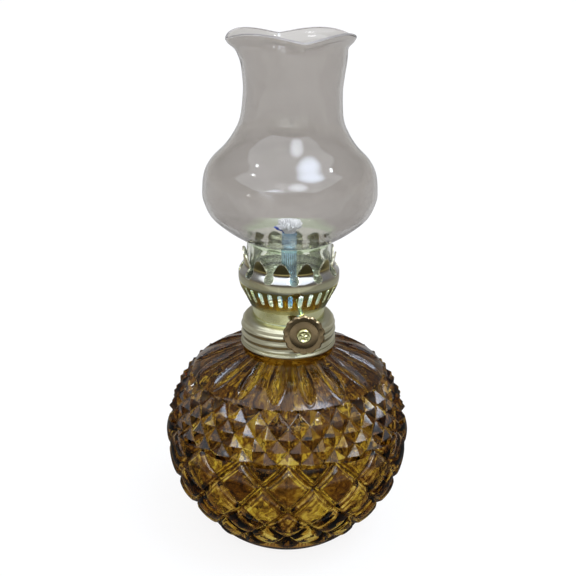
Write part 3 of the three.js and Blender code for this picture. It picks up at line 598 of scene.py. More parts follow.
# %% Pads and pyramids
# Painted light tone of plain glass, and a lighter painted tone at the foot.
plain_painted_light, foot_painted_light = 0.3, 0.9
pad_rise, pad_sink = 0.5 * MM, 2.3 * MM
pad_bevel_share = 0.2
pad_step = 0.35 * MM
pad_step_shares = (0.66, 0.71)
pad_pillow_radius = 24 * MM
pad_row_height = 8.6 * MM
pyramid_rise, pyramid_sink = 0.7 * MM, 1.7 * MM
groove_height = 0.5 * MM


# Each of the next functions gives the relief and the painted light tone along one ring of the font.
def foot_ring(azimuth, radius, height):
    return 0, foot_painted_light


def plain_ring(azimuth, radius, height):
    return 0, plain_painted_light


def pad_ring(azimuth, radius, height):
    column, row, distance, middle_column, middle_row = lattice(
        azimuth, height, PAD_COLUMNS, pad_row_shares, softness=0.02)
    across = (column - middle_column) * TURN * font_radius / PAD_COLUMNS
    along = (row - middle_row) * pad_row_height
    fall = (across**2 + along**2) / (2 * pad_pillow_radius)
    edge = np.minimum(row, len(pad_row_shares) - 1 - row)
    face = 1 - np.clip((distance - (1 - pad_bevel_share)) / pad_bevel_share, 0, 1)
    face = soft_step(np.minimum(face, np.clip(edge / 0.1, 0, 1)), -0.1, 1.05)
    top = pad_rise - fall - pad_step * soft_step(distance, *pad_step_shares)
    relief = -pad_sink + (top + pad_sink) * face

    # Each pad has its own painted light tone, lighter in the low rows and beside the front, with painted
    # highlight and shade lines round it.
    off_front = np.abs((middle_column + 0.5 * PAD_COLUMNS) % PAD_COLUMNS - 0.5 * PAD_COLUMNS)
    painted_light_tone = 0.02 + 0.34 * patch_value(middle_column, middle_row) + 0.36 * painted_streaks(azimuth, height)
    painted_light_tone = painted_light_tone + 0.6 * line_at(middle_row, 1.0, 0.8) + 0.2 * np.clip(off_front - 0.4, 0, 1)
    painted_highlight_lines = line_at(distance, 0.69, 0.03) + line_at(distance, 0.86, 0.035)
    painted_shade_lines = line_at(distance, 0.76, 0.04) + line_at(distance, 1.0, 0.07)
    return relief, painted_light_tone + 0.45 * painted_highlight_lines - 0.5 * painted_shade_lines


def pyramid_ring(azimuth, radius, height):
    column, row, distance, middle_column, middle_row = lattice(
        azimuth, height, PYRAMID_COLUMNS, pyramid_row_shares, softness=0.03)
    relief = pyramid_rise - (pyramid_rise + pyramid_sink) * distance

    # Each of a pyramid's four sides has its own painted light, set at random, as if it faced the light or
    # not. Its tip has a painted highlight and its grooves painted shade.
    side = np.where(column > middle_column, 1, 0) + np.where(row > middle_row, 2, 0)
    own = patch_value(middle_column * 3 + side, middle_row * 5 + side)
    painted_light_tone = 0.1 + 0.85 * own**2 + 0.15 * painted_streaks(azimuth, height)
    return relief, painted_light_tone - 0.3 * line_at(distance, 1.0, 0.1) + 0.25 * line_at(distance, 0.05, 0.1)


# %% Thumb flutes
FLUTES = 17
flute_turn = math.radians(2.7)
flute_high = np.array([21.06, 85.4]) * MM
flute_low = np.array([37.77, 76.8]) * MM
flute_half_width = 3.1 * MM
flute_depth = 1.3 * MM
flute_lip = 0.22 * MM


def flute_ring(azimuth, radius, height):
    """Thumb flutes, as if a long ellipsoid had been pressed into the shoulder."""
    step = TURN / FLUTES
    middle = (flute_high + flute_low) / 2
    length = np.linalg.norm(flute_low - flute_high)
    along = (flute_low - flute_high) / length
    across = ((azimuth - flute_turn) % step - step / 2) * radius / flute_half_width
    lengthwise = ((radius - middle[0]) * along[0] + (height - middle[1]) * along[1]) / (length / 2)
    girth = across**2 + lengthwise**2
    depth = flute_depth * np.clip(1 - girth**1.5, 0, None)
    relief = flute_lip * line_at(np.sqrt(girth), 1.04, 0.09) - depth
    # In the flutes the painted light tone gets painted streaks, and is lighter where the flute is deeper.
    return relief, plain_painted_light + 0.3 * painted_streaks(azimuth, 0.6 * height) - 0.25 * relief / flute_depth


# %% Threads
thread_pitch = 3.3 * MM
thread_depth = 0.7 * MM
thread_turns = 2.1
thread_low = neck_top - (thread_turns + 0.4) * thread_pitch
thread_run_out = 0.12


def thread_ring(azimuth, radius, height):
    """A right-handed ridge that fades in and out at its ends."""
    phase = (height - thread_low) / thread_pitch - azimuth / TURN
    nearest = np.round(phase)
    turns_up = nearest + azimuth / TURN
    ridge = 1 - soft_step(np.abs(phase - nearest), 0.08, 0.32)
    fade = soft_step(turns_up, 0, thread_run_out)
    fade = fade * (1 - soft_step(turns_up, thread_turns - thread_run_out, thread_turns))
    return thread_depth * ridge * fade, plain_painted_light


# %% Font surface
def on_bowl(heights):
    return np.stack([np.interp(heights, bowl_curve[:, 1], bowl_curve[:, 0]), heights], axis=1)


def rows_between(shares, rows):
    marks = np.array(shares) * bowl_height
    return np.concatenate([np.linspace(a, b, rows, endpoint=False) for a, b in zip(marks, marks[1:])])


def font_bands():
    """The outside from the foot's hollow to the lip: the ring function and the profile of each band."""
    pad_low, pad_high = pad_row_shares[0] * bowl_height, pad_row_shares[-1] * bowl_height
    pyramid_high = pyramid_row_shares[-1] * bowl_height
    foot = [(0.2 * MM, hollow_depth), (hollow_radius - 1.2 * MM, hollow_depth)]
    foot += [*around_corner(hollow_radius, 0, [(0, 0.15), (0.8, 0)]), (foot_radius - 0.8 * MM, 0)]
    step_in = [(shoulder_radius, bowl_height)]
    step_in += around_corner(neck_radius, bowl_height, [(0.6, 0.5), (0, 1.4)])
    neck = [(neck_radius, height) for height in np.linspace(bowl_height + 1.8 * MM, neck_top - 0.5 * MM, 30)]
    return [
        (foot_ring, smooth_profile(foot, 1.2 * MM)),
        (plain_ring, on_bowl(np.linspace(0.1 * MM, pad_low - 0.7 * MM, 9))),
        (pad_ring, on_bowl(rows_between(pad_row_shares, 20))),
        (pad_ring, on_bowl(np.array([pad_high]))),
        (pyramid_ring, on_bowl(rows_between(pyramid_row_shares, 10))),
        (pyramid_ring, on_bowl(np.array([pyramid_high]))),
        (flute_ring, on_bowl(np.linspace(pyramid_high + groove_height, bowl_height * 0.977, 40))),
        (plain_ring, smooth_profile(step_in, 0.6 * MM)),
        (thread_ring, neck),
        (plain_ring, around_corner(neck_radius, neck_top, [(-0.15, -0.1), (-0.5, 0)])),
    ]


def font_skin():
    """Radius, height and painted light tone of every point of the outside, ring by ring, and the rings'
    azimuths.
    """
    bands = font_bands()
    profile = np.vstack([band for _, band in bands])
    rings = [ring for ring, band in bands for _ in band]
    azimuth = pattern_turn + round_azimuths(COLUMNS)
    depth, painted_light_tone = np.zeros((2, len(profile), COLUMNS))
    for i, (ring, (radius, height)) in enumerate(zip(rings, profile)):
        depth[i], painted_light_tone[i] = ring(azimuth, radius, height)
    normals = ring_normals(profile)
    radius = profile[:, :1] + normals[:, :1] * depth
    height = profile[:, 1:] + normals[:, 1:] * depth
    return radius, height, azimuth, painted_light_tone


def font_inside():
    inner = (font_radius - glass_wall) / font_radius
    top = bowl_height - glass_wall
    corners = [(0.2 * MM, glass_base), (foot_radius * inner * 0.9, glass_base)]
    for height, radius in bowl_shares[1:]:
        corners += [(radius * inner * font_radius, between(glass_base, top, height))]
    corners += around_corner(neck_bore, top, [(1.2, 0.4), (0, 2)])
    corners += around_corner(neck_bore, neck_top, [(0, -0.4), (0.4, 0)])
    return smooth_profile(corners, 2.4 * MM)[::-1]


outer_radius, outer_height, font_azimuth, outer_painted_light = font_skin()
inside = font_inside()
all_radius = np.vstack([outer_radius, np.repeat(inside[:, :1], COLUMNS, axis=1)])
all_height = np.vstack([outer_height, np.repeat(inside[:, 1:], COLUMNS, axis=1)])
font_points = round_points(all_radius, all_height, font_azimuth)
font_faces = grid_faces(len(all_radius), COLUMNS)
bottom_pole, inner_pole = len(font_points), len(font_points) + 1
font_points = np.vstack([font_points, [(0, 0, hollow_depth), (0, 0, glass_base)]])
last_ring = (len(all_radius) - 1) * COLUMNS
font_faces += [(bottom_pole, (i + 1) % COLUMNS, i) for i in range(COLUMNS)]
font_faces += [(inner_pole, last_ring + i, last_ring + (i + 1) % COLUMNS) for i in range(COLUMNS)]
font = make_mesh("font_glass", font_points, font_faces)
# The painted light tone is kept on the mesh, and the inside's points get the lightest, 1.
font_painted_light = np.ones(len(font_points))
font_painted_light[:outer_painted_light.size] = np.clip(outer_painted_light, 0, 1).ravel()
font.data.attributes.new("painted_light_tone", "FLOAT", "POINT").data.foreach_set("value", font_painted_light)
sharpen(font, degrees=28)
finish_piece(font, "font", amber_glass, ["font"])
print("rings in the font:", len(all_radius), "faces:", len(font_faces))

# %% [markdown]
# ## The chimney
#
# The chimney is blown thin and its rim is crimped into four lobes while it is hot. The glass is a
# closed skin: up the outside, over the rounded rim and down the inside. A solid block of glass would
# bend light like a lens, so the inside matters as much as the outside. The rounded rim gets a
# material of its own, partly pale and not clear: a painted highlight where fire polished glass catches the
# light.

# %% Chimney sizes
chimney_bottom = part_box("chimney")[0].z
chimney_columns = 192
blown_wall = 1.2 * MM
rim_wall = 0.9 * MM
fitter_radius = 16.9 * MM
bulb_radius = 34.2 * MM
waist_radius = 18.9 * MM
rim_radius = 23.9 * MM
chimney_rise = 78.6 * MM
rim_lobes = 4
rim_turn = math.radians(11.5)
crimp_rise = 1.35 * MM
crimp_reach = 0.8 * MM
rim_lean = 1.4 * MM
rim_slip = 1.0 * MM
flue_lean = 0.9 * MM
fitter_to_bulb_shares = [(0.026, 0.24), (0.076, 0.56), (0.136, 0.845), (0.205, 0.98), (0.25, 1.0)]
waist_to_bulb_shares = [
    (0.333, 0.95), (0.396, 0.78), (0.459, 0.47), (0.525, 0.235), (0.605, 0.06), (0.73, 0.0)]
waist_to_rim_shares = [(0.807, 0.07), (0.908, 0.29), (0.95, 0.41), (0.98, 0.82), (1.0, 1.0)]


def up_chimney(share):
    return fold_height + chimney_rise * share


def chimney_run(inner, outer, shares):
    """Corners between two radii; each share is of the way up the chimney and of the way out."""
    return [(between(inner, outer, out), up_chimney(up)) for up, out in shares]


# %% Chimney
halfway = between(chimney_bottom, fold_height, 0.5)
chimney_corners = [(fitter_radius, chimney_bottom), (fitter_radius, halfway)]
chimney_corners += around_corner(fitter_radius, fold_height, [(0, -1.2), (0.5, 0)])
chimney_corners += chimney_run(fitter_radius, bulb_radius, fitter_to_bulb_shares)
chimney_corners += chimney_run(waist_radius, bulb_radius, waist_to_bulb_shares)
chimney_corners += chimney_run(waist_radius, rim_radius, waist_to_rim_shares)
outer_curve = smooth_profile(chimney_corners, 1.2 * MM)
near_rim = soft_step(outer_curve[:, 1:], up_chimney(0.85), up_chimney(1))
inner_curve = outer_curve - ring_normals(outer_curve) * between(blown_wall, rim_wall, near_rim)
lip_middle = (outer_curve[-1] + inner_curve[-1]) / 2
lip_side = (outer_curve[-1] - inner_curve[-1]) / 2
lip_up = np.array([-lip_side[1], lip_side[0]])
lip_angles = np.linspace(0.4, 2.74, 6)[:, None]
lip = lip_middle + lip_side * np.cos(lip_angles) + lip_up * np.sin(lip_angles)
chimney_loop = np.vstack([outer_curve, lip, inner_curve[::-1]])

azimuth = round_azimuths(chimney_columns)
lobe = 2 * soft_abs(np.sin(rim_lobes / 2 * (azimuth - rim_turn)), 0.06) - 1
wave = soft_step(chimney_loop[:, 1:], up_chimney(0.86), up_chimney(1))
leaning = flue_lean * soft_step(chimney_loop[:, 1:], up_chimney(0.35), up_chimney(0.9))
sideways = (leaning - wave * rim_slip) * np.sin(azimuth)
chimney_radius = chimney_loop[:, :1] - wave * crimp_reach * lobe + sideways
chimney_height = chimney_loop[:, 1:] + wave * (crimp_rise * lobe + rim_lean * np.cos(azimuth))
points = round_points(chimney_radius, chimney_height, azimuth)
chimney = make_mesh("chimney_glass", points, grid_faces(len(chimney_loop), chimney_columns, True))
finish_piece(chimney, "chimney", clear_glass, ["chimney"])
chimney.data.materials.append(rim_glass_painted_highlight)
first_rim_face = (len(outer_curve) - 1) * chimney_columns
last_rim_face = (len(outer_curve) + len(lip)) * chimney_columns
for face in chimney.data.polygons[first_rim_face:last_rim_face]:
    face.material_index = 1
print("chimney rings:", len(chimney_loop), "top in mm:", round(points[:, 2].max() / MM, 1))

# %% [markdown]
# ## The screw collar
#
# The collar is spun from sheet. Its thread is rolled right through, so the same ridge shows outside.
# The turned grid takes the thread as a relief again, and the Solidify modifier isn't needed because
# the profile runs round both faces of the sheet.

# %% Collar
collar_low, collar_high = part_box("screw_collar")
collar_bottom, collar_top = collar_low.z, collar_high.z
collar_radius = 18.7 * MM
collar_columns = 160
collar_ridge = 0.6 * MM
ridge_low = thread_low - 0.6 * thread_pitch
bead_mm = [(-0.2, 0.1), (0.42, 0), (0.7, 0.5), (0.49, 1.05), (0, 1.4)]
top_edge_mm = [(0, -3.0), (-0.35, -1.6), (-1.3, -0.5), (-2.9, 0), (-4.8, 0)]
collar_corners = around_corner(collar_radius, collar_bottom, bead_mm)
collar_corners += around_corner(collar_radius, collar_top, top_edge_mm)
outside_collar = smooth_profile(collar_corners, 0.3 * MM)
inside_collar = np.array(
    around_corner(collar_radius, collar_top, [(-5.1, -0.7), (-3.4, -0.8), (-2.0, -1.3), (-0.8, -3)])
    + around_corner(collar_radius, collar_bottom, [(-0.8, 0.1)]))

# Broad rolled ridges stand on the upright wall, between the bead and the rounded top edge.
heights = outside_collar[:, 1:]
phase = (heights - ridge_low) / thread_pitch - round_azimuths(collar_columns) / TURN
ridge = (0.5 + 0.5 * np.cos(TURN * phase)) ** 1.3
wall = soft_step(heights, collar_bottom + 1.5 * MM, collar_bottom + 2.2 * MM)
wall = wall * (1 - soft_step(heights, collar_top - 3.6 * MM, collar_top - 2.8 * MM))
no_relief = np.zeros((len(inside_collar), collar_columns))
collar_relief = np.vstack([collar_ridge * ridge * wall, no_relief])
collar_loop = np.vstack([outside_collar, inside_collar])
collar = turned_piece("collar_sheet", collar_loop, collar_columns, collar_relief)
finish_piece(collar, "burner", satin_brass, ["screw_collar"])
print("collar radius in mm:", round(collar_radius / MM, 1))

# %% [markdown]
# ## The drum and the wick tube
#
# Both are plain sheet tubes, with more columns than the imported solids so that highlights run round
# smoothly. The wick tube has two slots where the toothed wheels reach the wick: a few faces are left
# out of a single skin, and the Solidify modifier then gives it the thickness of the sheet.

# %% Drum
drum_low, drum_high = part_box("burner_drum")
drum_radius = (drum_high.x - drum_low.x) / 2
drum_columns = 128
drum_sheet = 0.6  # millimetres
drum_profile = around_corner(drum_radius, drum_low.z, [(-drum_sheet, 0), (0, 0), (0, 0.2)])
drum_profile += around_corner(drum_radius, drum_high.z, [(0, -0.2), (0, 0), (-drum_sheet, 0)])
drum = turned_piece("drum_sheet", drum_profile, drum_columns)
sharpen(drum)
finish_piece(drum, "burner", bright_brass, ["burner_drum"])
# The drum's inside faces get the pale painted light.
paint_inside(drum, inside_brass_painted_light)


# %% Wick tube
def thicken(piece, thickness, offset, rim_material=0):
    """Gives a single skin the thickness of the sheet."""
    solid = piece.modifiers.new("sheet thickness", "SOLIDIFY")
    solid.thickness = thickness
    solid.offset = offset
    solid.material_offset_rim = rim_material
    graph = bpy.context.evaluated_depsgraph_get()
    mesh = bpy.data.meshes.new_from_object(piece.evaluated_get(graph))
    piece.modifiers.clear()
    piece.data = mesh


tube_low, tube_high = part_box("wick_tube")
wheel_low, wheel_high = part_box("wick_wheel_front")
tube_radius = 3.1 * MM
tube_sheet = 0.5 * MM
tube_columns = 48
slot_ring = 1
slot_columns = (7, 8, 9, 14, 15, 16)  # towards the wheels, on the right
tube_profile = np.array([
    (tube_radius, tube_low.z), (tube_radius, wheel_low.z), (tube_radius, wheel_high.z),
    (tube_radius, tube_high.z - 0.3 * MM), (tube_radius - 0.1 * MM, tube_high.z)])
ring_radius, ring_height = (np.repeat(part, tube_columns, axis=1) for part in np.hsplit(tube_profile, 2))
tube_points = round_points(ring_radius, ring_height, round_azimuths(tube_columns))
tube_faces = [
    face for i, face in enumerate(grid_faces(len(tube_profile), tube_columns))
    if not (i // tube_columns == slot_ring and i % tube_columns in slot_columns)]
tube = make_mesh("tube_steel", tube_points, tube_faces)
thicken(tube, tube_sheet, -1)
sharpen(tube)
finish_piece(tube, "burner", zinc_steel, ["wick_tube"])
print("drum radius in mm:", round(drum_radius / MM, 2))

# %% [markdown]
# ## The prong crown
#
# The crown is stamped flat and then formed: keyholes between the prongs and a ring of air slots. It
# could be cut with booleans, but these leave long thin faces that spoil the highlights. Here the
# flat pattern is filled with even triangles, with the holes left open, and then wrapped round the
# crown's profile. One sixth of it is drawn, from the middle of a prong to the middle of the next but
# one, where no hole crosses the seam. Solidify gives it the thickness of the sheet, and its cut
# edges get a paler brass, partly cut brass and partly a painted highlight. Near the top they are painted
# almost white.

# %% Crown sizes
crown_sheet = 0.6 * MM
crown_height = crown_high.z - crown_low.z
skirt_radius = 15.7 * MM
prong_waist = 18.2 * MM
belly_radius = 20.3 * MM
tip_flare = 0.9 * MM
PRONGS = 12
SLOTS = 30
SECTORS = 6
prong_turn = math.radians(6)
slot_turn = math.radians(2)
skirt_to_belly_shares = [(0.0, 0.0), (0.05, 0.12), (0.2, 0.5), (0.35, 0.86), (0.46, 0.99), (0.56, 1.0)]
waist_to_belly_shares = [(0.62, 0.88), (0.73, 0.1), (0.77, 0.0)]
crown_corners = [(between(skirt_radius, belly_radius, out), up) for up, out in skirt_to_belly_shares]
crown_corners += [(between(prong_waist, belly_radius, out), up) for up, out in waist_to_belly_shares]
crown_corners += [(prong_waist + tip_flare * 0.6, 0.9), (prong_waist + tip_flare, 1.0)]
crown_curve = smooth_profile(np.array(crown_corners) * (1, crown_height), 0.25 * MM)
pattern_radius = prong_waist  # the flat pattern is drawn as if on a cylinder of this radius
pattern_cell = 0.55 * MM
slot_half_width = 0.85 * MM
slot_low, slot_high = 0.17 * crown_height, 0.43 * crown_height
keyhole_radius = 1.9 * MM
keyhole_half_neck = 1.2 * MM
keyhole_middle_share = 0.685
keyhole_neck_share = 0.765
prong_top_share = 0.965


# %% Crown openings
def arc(centre, radius, start, end, parts):
    angles = np.linspace(start, end, parts)
    return [(centre[0] + radius * math.cos(a), centre[1] + radius * math.sin(a)) for a in angles]


def bezier(a, b, c, d, parts):
    a, b, c, d = (np.array(p) for p in (a, b, c, d))
    return [
        tuple((1 - t) ** 3 * a + 3 * (1 - t) ** 2 * t * b + 3 * (1 - t) * t * t * c + t**3 * d)
        for t in np.linspace(0, 1, parts)]


def slot_outline(middle):
    upper = arc((middle, slot_high - slot_half_width), slot_half_width, 0, math.pi, 7)
    return upper + arc((middle, slot_low + slot_half_width), slot_half_width, math.pi, TURN, 7)


def keyhole_outline(middle):
    """A round hole, a narrow neck, and a mouth that rounds the prongs' tips off."""
    hole = (0, keyhole_middle_share * crown_height)
    neck_angle = math.acos(keyhole_half_neck / keyhole_radius)
    half_pitch = math.pi * pattern_radius / PRONGS
    top = prong_top_share * crown_height
    mouth = bezier(
        (keyhole_half_neck, keyhole_neck_share * crown_height), (half_pitch * 0.5, 0.85 * crown_height),
        (half_pitch * 0.62, top), (half_pitch, top), 12)
    above = [(half_pitch, crown_height + 1.5 * MM)]
    side = arc(hole, keyhole_radius, -math.pi / 2, neck_angle, 11) + mouth + above
    return [(middle + x, y) for x, y in side] + [(middle - x, y) for x, y in side[:0:-1]]


def inside_polygon(point, polygon):
    x, y = point
    odd = False
    for (x1, y1), (x2, y2) in zip(polygon, polygon[1:] + polygon[:1]):
        if (y1 > y) != (y2 > y) and x < x1 + (y - y1) * (x2 - x1) / (y2 - y1):
            odd = not odd
    return odd


# %% Crown pattern
def wrap_pattern(points):
    """The flat pattern wrapped round the crown: across becomes azimuth, up stays height."""
    points = np.array(points)
    radius = np.interp(points[:, 1], crown_curve[:, 1], crown_curve[:, 0])
    return round_points(radius, crown_low.z + points[:, 1], points[:, 0] / pattern_radius)


def crown_pattern(left, width):
    """Points and triangles of one sector of the flat pattern, with its holes left open."""
    prong, slot = TURN * pattern_radius / PRONGS, TURN * pattern_radius / SLOTS
    first_slot = slot_turn * pattern_radius + 2 * slot
    cuts = [keyhole_outline(left + prong / 2), keyhole_outline(left + prong * 3 / 2)]
    cuts += [slot_outline(first_slot + i * slot) for i in range(SLOTS // SECTORS)]
    columns, rows = round(width / pattern_cell), round(crown_height / pattern_cell)
    points = [
        Vector((left + width * i / columns, crown_height * j / rows))
        for j in range(rows + 1) for i in range(columns + 1)]
    across = columns + 1
    edges = []
    for i in range(columns):
        edges += [(i, i + 1), (rows * across + i, rows * across + i + 1)]
    for j in range(rows):
        edges += [(j * across, (j + 1) * across), (j * across + columns, (j + 1) * across + columns)]
    for polygon in cuts:
        start = len(points)
        points += [Vector(p) for p in polygon]
        edges += [(start + i, start + (i + 1) % len(polygon)) for i in range(len(polygon))]
    flat, _, triangles, *_ = delaunay_2d_cdt(points, edges, [], 0, 1e-7)
    kept = []
    for triangle in triangles:
        middle = sum((flat[i] for i in triangle), Vector((0, 0))) / 3
        if middle.y < crown_height and not any(inside_polygon(middle, polygon) for polygon in cuts):
            kept.append(triangle)
    return flat, kept


sector_width = TURN * pattern_radius / SECTORS
sector_left = (prong_turn + TURN / PRONGS / 2) * pattern_radius
flat, triangles = crown_pattern(sector_left, sector_width)
crown_mesh = bmesh.new()
for sector in range(SECTORS):
    moved = [(p.x + sector * sector_width, p.y) for p in flat]
    wrapped = [crown_mesh.verts.new(p) for p in wrap_pattern(moved)]
    for triangle in triangles:
        crown_mesh.faces.new([wrapped[i] for i in triangle])
bmesh.ops.remove_doubles(crown_mesh, verts=crown_mesh.verts, dist=0.02 * MM)
loose = [v for v in crown_mesh.verts if not v.link_faces]
bmesh.ops.delete(crown_mesh, geom=loose, context="VERTS")
bmesh.ops.recalc_face_normals(crown_mesh, faces=crown_mesh.faces)
open_edges = sum(1 for edge in crown_mesh.edges if edge.is_boundary)
crown_data = bpy.data.meshes.new("crown_sheet")
crown_mesh.to_mesh(crown_data)
crown_mesh.free()
crown = put_in_scene("crown_sheet", crown_data)
crown_data.polygons.foreach_set("use_smooth", [True] * len(crown_data.polygons))
print("crown triangles:", len(crown_data.polygons), "open edges:", open_edges)

# %% Crown thickness
facing_out = sum(away_from_axis(face) for face in crown_data.polygons) > 0
crown_data.materials.append(crown_brass)
crown_data.materials.append(edge_brass_and_highlight)
thicken(crown, crown_sheet, -1 if facing_out else 1, rim_material=1)
rim_faces = [face.index for face in crown.data.polygons if face.material_index == 1]
finish_piece(crown, "burner", crown_brass, ["prong_crown"])
crown.data.materials.append(edge_brass_and_highlight)
# The crown's inside faces get the pale painted light.
paint_inside(crown, inside_brass_painted_light)
# Points on the cut edges in the upper half get a painted highlight in the crown's colour.
painted_cut_edge_highlight = np.zeros(len(crown.data.vertices))
for index in rim_faces:
    crown.data.polygons[index].material_index = 1
    for corner in crown.data.polygons[index].vertices:
        if crown.data.vertices[corner].co.z > between(crown_low.z, crown_high.z, 0.5):
            painted_cut_edge_highlight[corner] = 1
crown.data.attributes.new("painted_cut_edge_highlight", "FLOAT", "POINT").data.foreach_set("value", painted_cut_edge_highlight)
sharpen(crown, degrees=40)
print("crown faces with thickness:", len(crown.data.polygons), "on its cut edges:", len(rim_faces))

# %% [markdown]
# ## The knob
#
# The knob is a thin pressed disc with a scalloped edge and a pressed ring, held by a rivet. A polar
# grid whose rings swell with the scallops gives both the edge and the relief in one mesh. The rivet
# is made the same way, with a few notches where its end was spread.

# %% Knob
spindle_low, spindle_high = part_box("spindle")
spindle_x = (spindle_low.x + spindle_high.x) / 2
spindle_z = (spindle_low.z + spindle_high.z) / 2
knob_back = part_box("knob")[0].y + 0.9 * MM
rivet_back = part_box("knob_rivet")[1].y
rivet_columns = 60
SCALLOPS = 14
knob_columns = 12 * SCALLOPS
scallop_depth = 0.5 * MM
notch_depth = 0.16 * MM


def face_disc(name, profile_mm, columns, plane, swell):
    """A disc facing the front; profile is [radius, distance forward of a plane], in millimetres."""
    profile = np.array(profile_mm) * MM
    angle = round_azimuths(columns)
    radius, forward = np.broadcast_arrays(*swell(profile[:, :1], profile[:, 1:], angle))
    places = np.stack(
        [spindle_x + radius * np.cos(angle), plane - forward, spindle_z + radius * np.sin(angle)], axis=-1)
    return make_mesh(name, places.reshape(-1, 3), grid_faces(len(profile), columns, True))


def scalloped(radius, forward, angle):
    scallop = scallop_depth * (np.abs(np.sin(angle * SCALLOPS / 2)) - 0.75)
    return radius + scallop * soft_step(radius, 6.2 * MM, 7.6 * MM), forward


def notched(radius, forward, angle):
    notch = notch_depth * np.cos(5 * angle) * soft_step(radius, 0.1 * MM, 0.7 * MM)
    return radius, forward + notch * (1 - soft_step(radius, 1.0 * MM, 1.5 * MM))


knob_profile = [
    (1.2, 0.9), (3.2, 0.9), (5.2, 0.9), (5.45, 0.8), (5.6, 0.74), (5.75, 0.8), (6.0, 0.9), (7.0, 0.9),
    (7.25, 0.98), (7.5, 0.98), (7.8, 0.7), (8.0, 0.4), (7.92, 0.15), (7.6, 0.02), (6.0, 0.02), (2.6, 0.02),
    (2.4, -0.15), (2.4, -2.1), (2.2, -2.2), (1.2, -2.2),
]
knob = face_disc("knob_disc", knob_profile, knob_columns, knob_back, scalloped)
sharpen(knob, degrees=40)
# The knob gets the brass painted brown as a reflection.
finish_piece(knob, "knob", knob_brass_painted_reflection, ["knob"])

rivet_profile = [
    (0.05, 0.78), (0.35, 0.74), (0.75, 0.62), (1.1, 0.5), (1.4, 0.44), (1.7, 0.52), (1.95, 0.85),
    (2.2, 1.05), (2.45, 1.02), (2.7, 0.7), (2.88, 0.25), (2.9, 0.0), (0.05, 0.0),
]
rivet = face_disc("rivet_head", rivet_profile, rivet_columns, rivet_back, notched)
sharpen(rivet, degrees=50)
finish_piece(rivet, "knob", bright_brass, ["knob_rivet"])
print("scallops on the knob:", SCALLOPS)

# %% [markdown]
# ## The wick's frayed head
#
# Above its tube the cotton is frayed into a small white tuft with one blue marker thread. A hair
# system would do, but a few hundred short curves are light and keep their place. Each strand starts
# in the tube's mouth, leans out by its own angle and curls over.

# %% Wick strands
wick_low, wick_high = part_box("wick")
wick_radius = 2.2 * MM
head_low = tube_high.z - 0.5 * MM
head_room = wick_high.z - head_low
head_radius = (wick_high.x - wick_low.x) / 2
strand_parts = 6
random.seed(7)


def strand(spline, around, spread_out, length, curl):
    """Fills a spline with one strand: up from the tube, then out and over."""
    spline.points.add(strand_parts)
    start = wick_radius * math.sqrt(random.random()) * 0.9
    for i, point in enumerate(spline.points):
        t = i / strand_parts
        out = start + (spread_out - start) * t**1.4
        wobble = 0.25 * MM * math.sin(9 * t + around * 5)
        height = head_low + length * (t - curl * t * t)
        angle = around + 0.5 * t * math.sin(around * 7)
        point.co = (out * math.sin(angle) + wobble, -out * math.cos(angle), height, 1)
        point.radius = 1 - 0.5 * t


def tuft(name, strands, thickness, chooser, material):
    curve = bpy.data.curves.new(name, "CURVE")
    curve.dimensions = "3D"
    curve.bevel_depth = thickness
    curve.bevel_resolution = 1
    for _ in range(strands):
        strand(curve.splines.new("POLY"), *chooser())
    finish_piece(put_in_scene(name, curve), "wick", material)


def any_strand():
    reach = random.random()
    length = head_room * (0.75 + 0.35 * random.random())
    return random.random() * TURN, head_radius * 1.15 * reach**0.7, length, 0.12 + 0.25 * reach


def blue_strand():
    side = math.radians(-95 + 30 * random.random())
    return side, head_radius * (1.1 + 0.3 * random.random()), head_room * 0.6, 0.2


white_strands, white_thickness = 420, 0.26 * MM
blue_strands, blue_thickness = 18, 0.42 * MM
tuft("wick_tuft", white_strands, white_thickness, any_strand, white_cotton)
tuft("wick_marker_thread", blue_strands, blue_thickness, blue_strand, blue_cotton)
core_columns = 24
core_profile = around_corner(wick_radius, wick_low.z, [(-2.0, 0), (0, 0.2)])
core_profile += around_corner(wick_radius, head_low, [(0, 1.6), (0.66, 3.2), (-0.22, 5), (-2.0, 5.6)])
core = turned_piece("wick_cord", core_profile, core_columns)
finish_piece(core, "wick", white_cotton, ["wick"])
print("strands:", white_strands)

# %% [markdown]
# ## Finishes of the parts that keep their solids
#
# Small parts inside the burner are already right as solids. They only need their materials.

# %% Remaining parts
# The burner's floor, air deck and housing get the pale painted light of the inside.
solid_finishes = {
    "neck_gasket": brown_fibre, "burner_floor": inside_brass_painted_light, "air_deck": inside_brass_painted_light,
    "sprocket_housing": inside_brass_painted_light, "spindle_sleeve": bright_brass, "spindle": zinc_steel,
    "wick_wheel_front": zinc_steel, "wick_wheel_back": zinc_steel, "wheel_spacer": bright_brass,
}
for name, material in solid_finishes.items():
    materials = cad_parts[name].data.materials
    materials.clear()
    materials.append(material)
print("solids with a finish:", len(solid_finishes))

# %% [markdown]
# ## The studio
#
# A pale floor that reaches far behind the lamp is also the background. A large panel high up at the
# back and two small spots give its soft light and shadow. Glass and metal only look like themselves
# when they also have bright things and dark things to show. So mirrored rays see the floor as a
# bright card before the lamp, dimmer beside it and dark close to it. And the world has a bright
# ceiling, whose reflection is the white band on the crown, with a lamp and a window that give the
# bluish facets of the font. Seen directly, floor and sky are plain white.

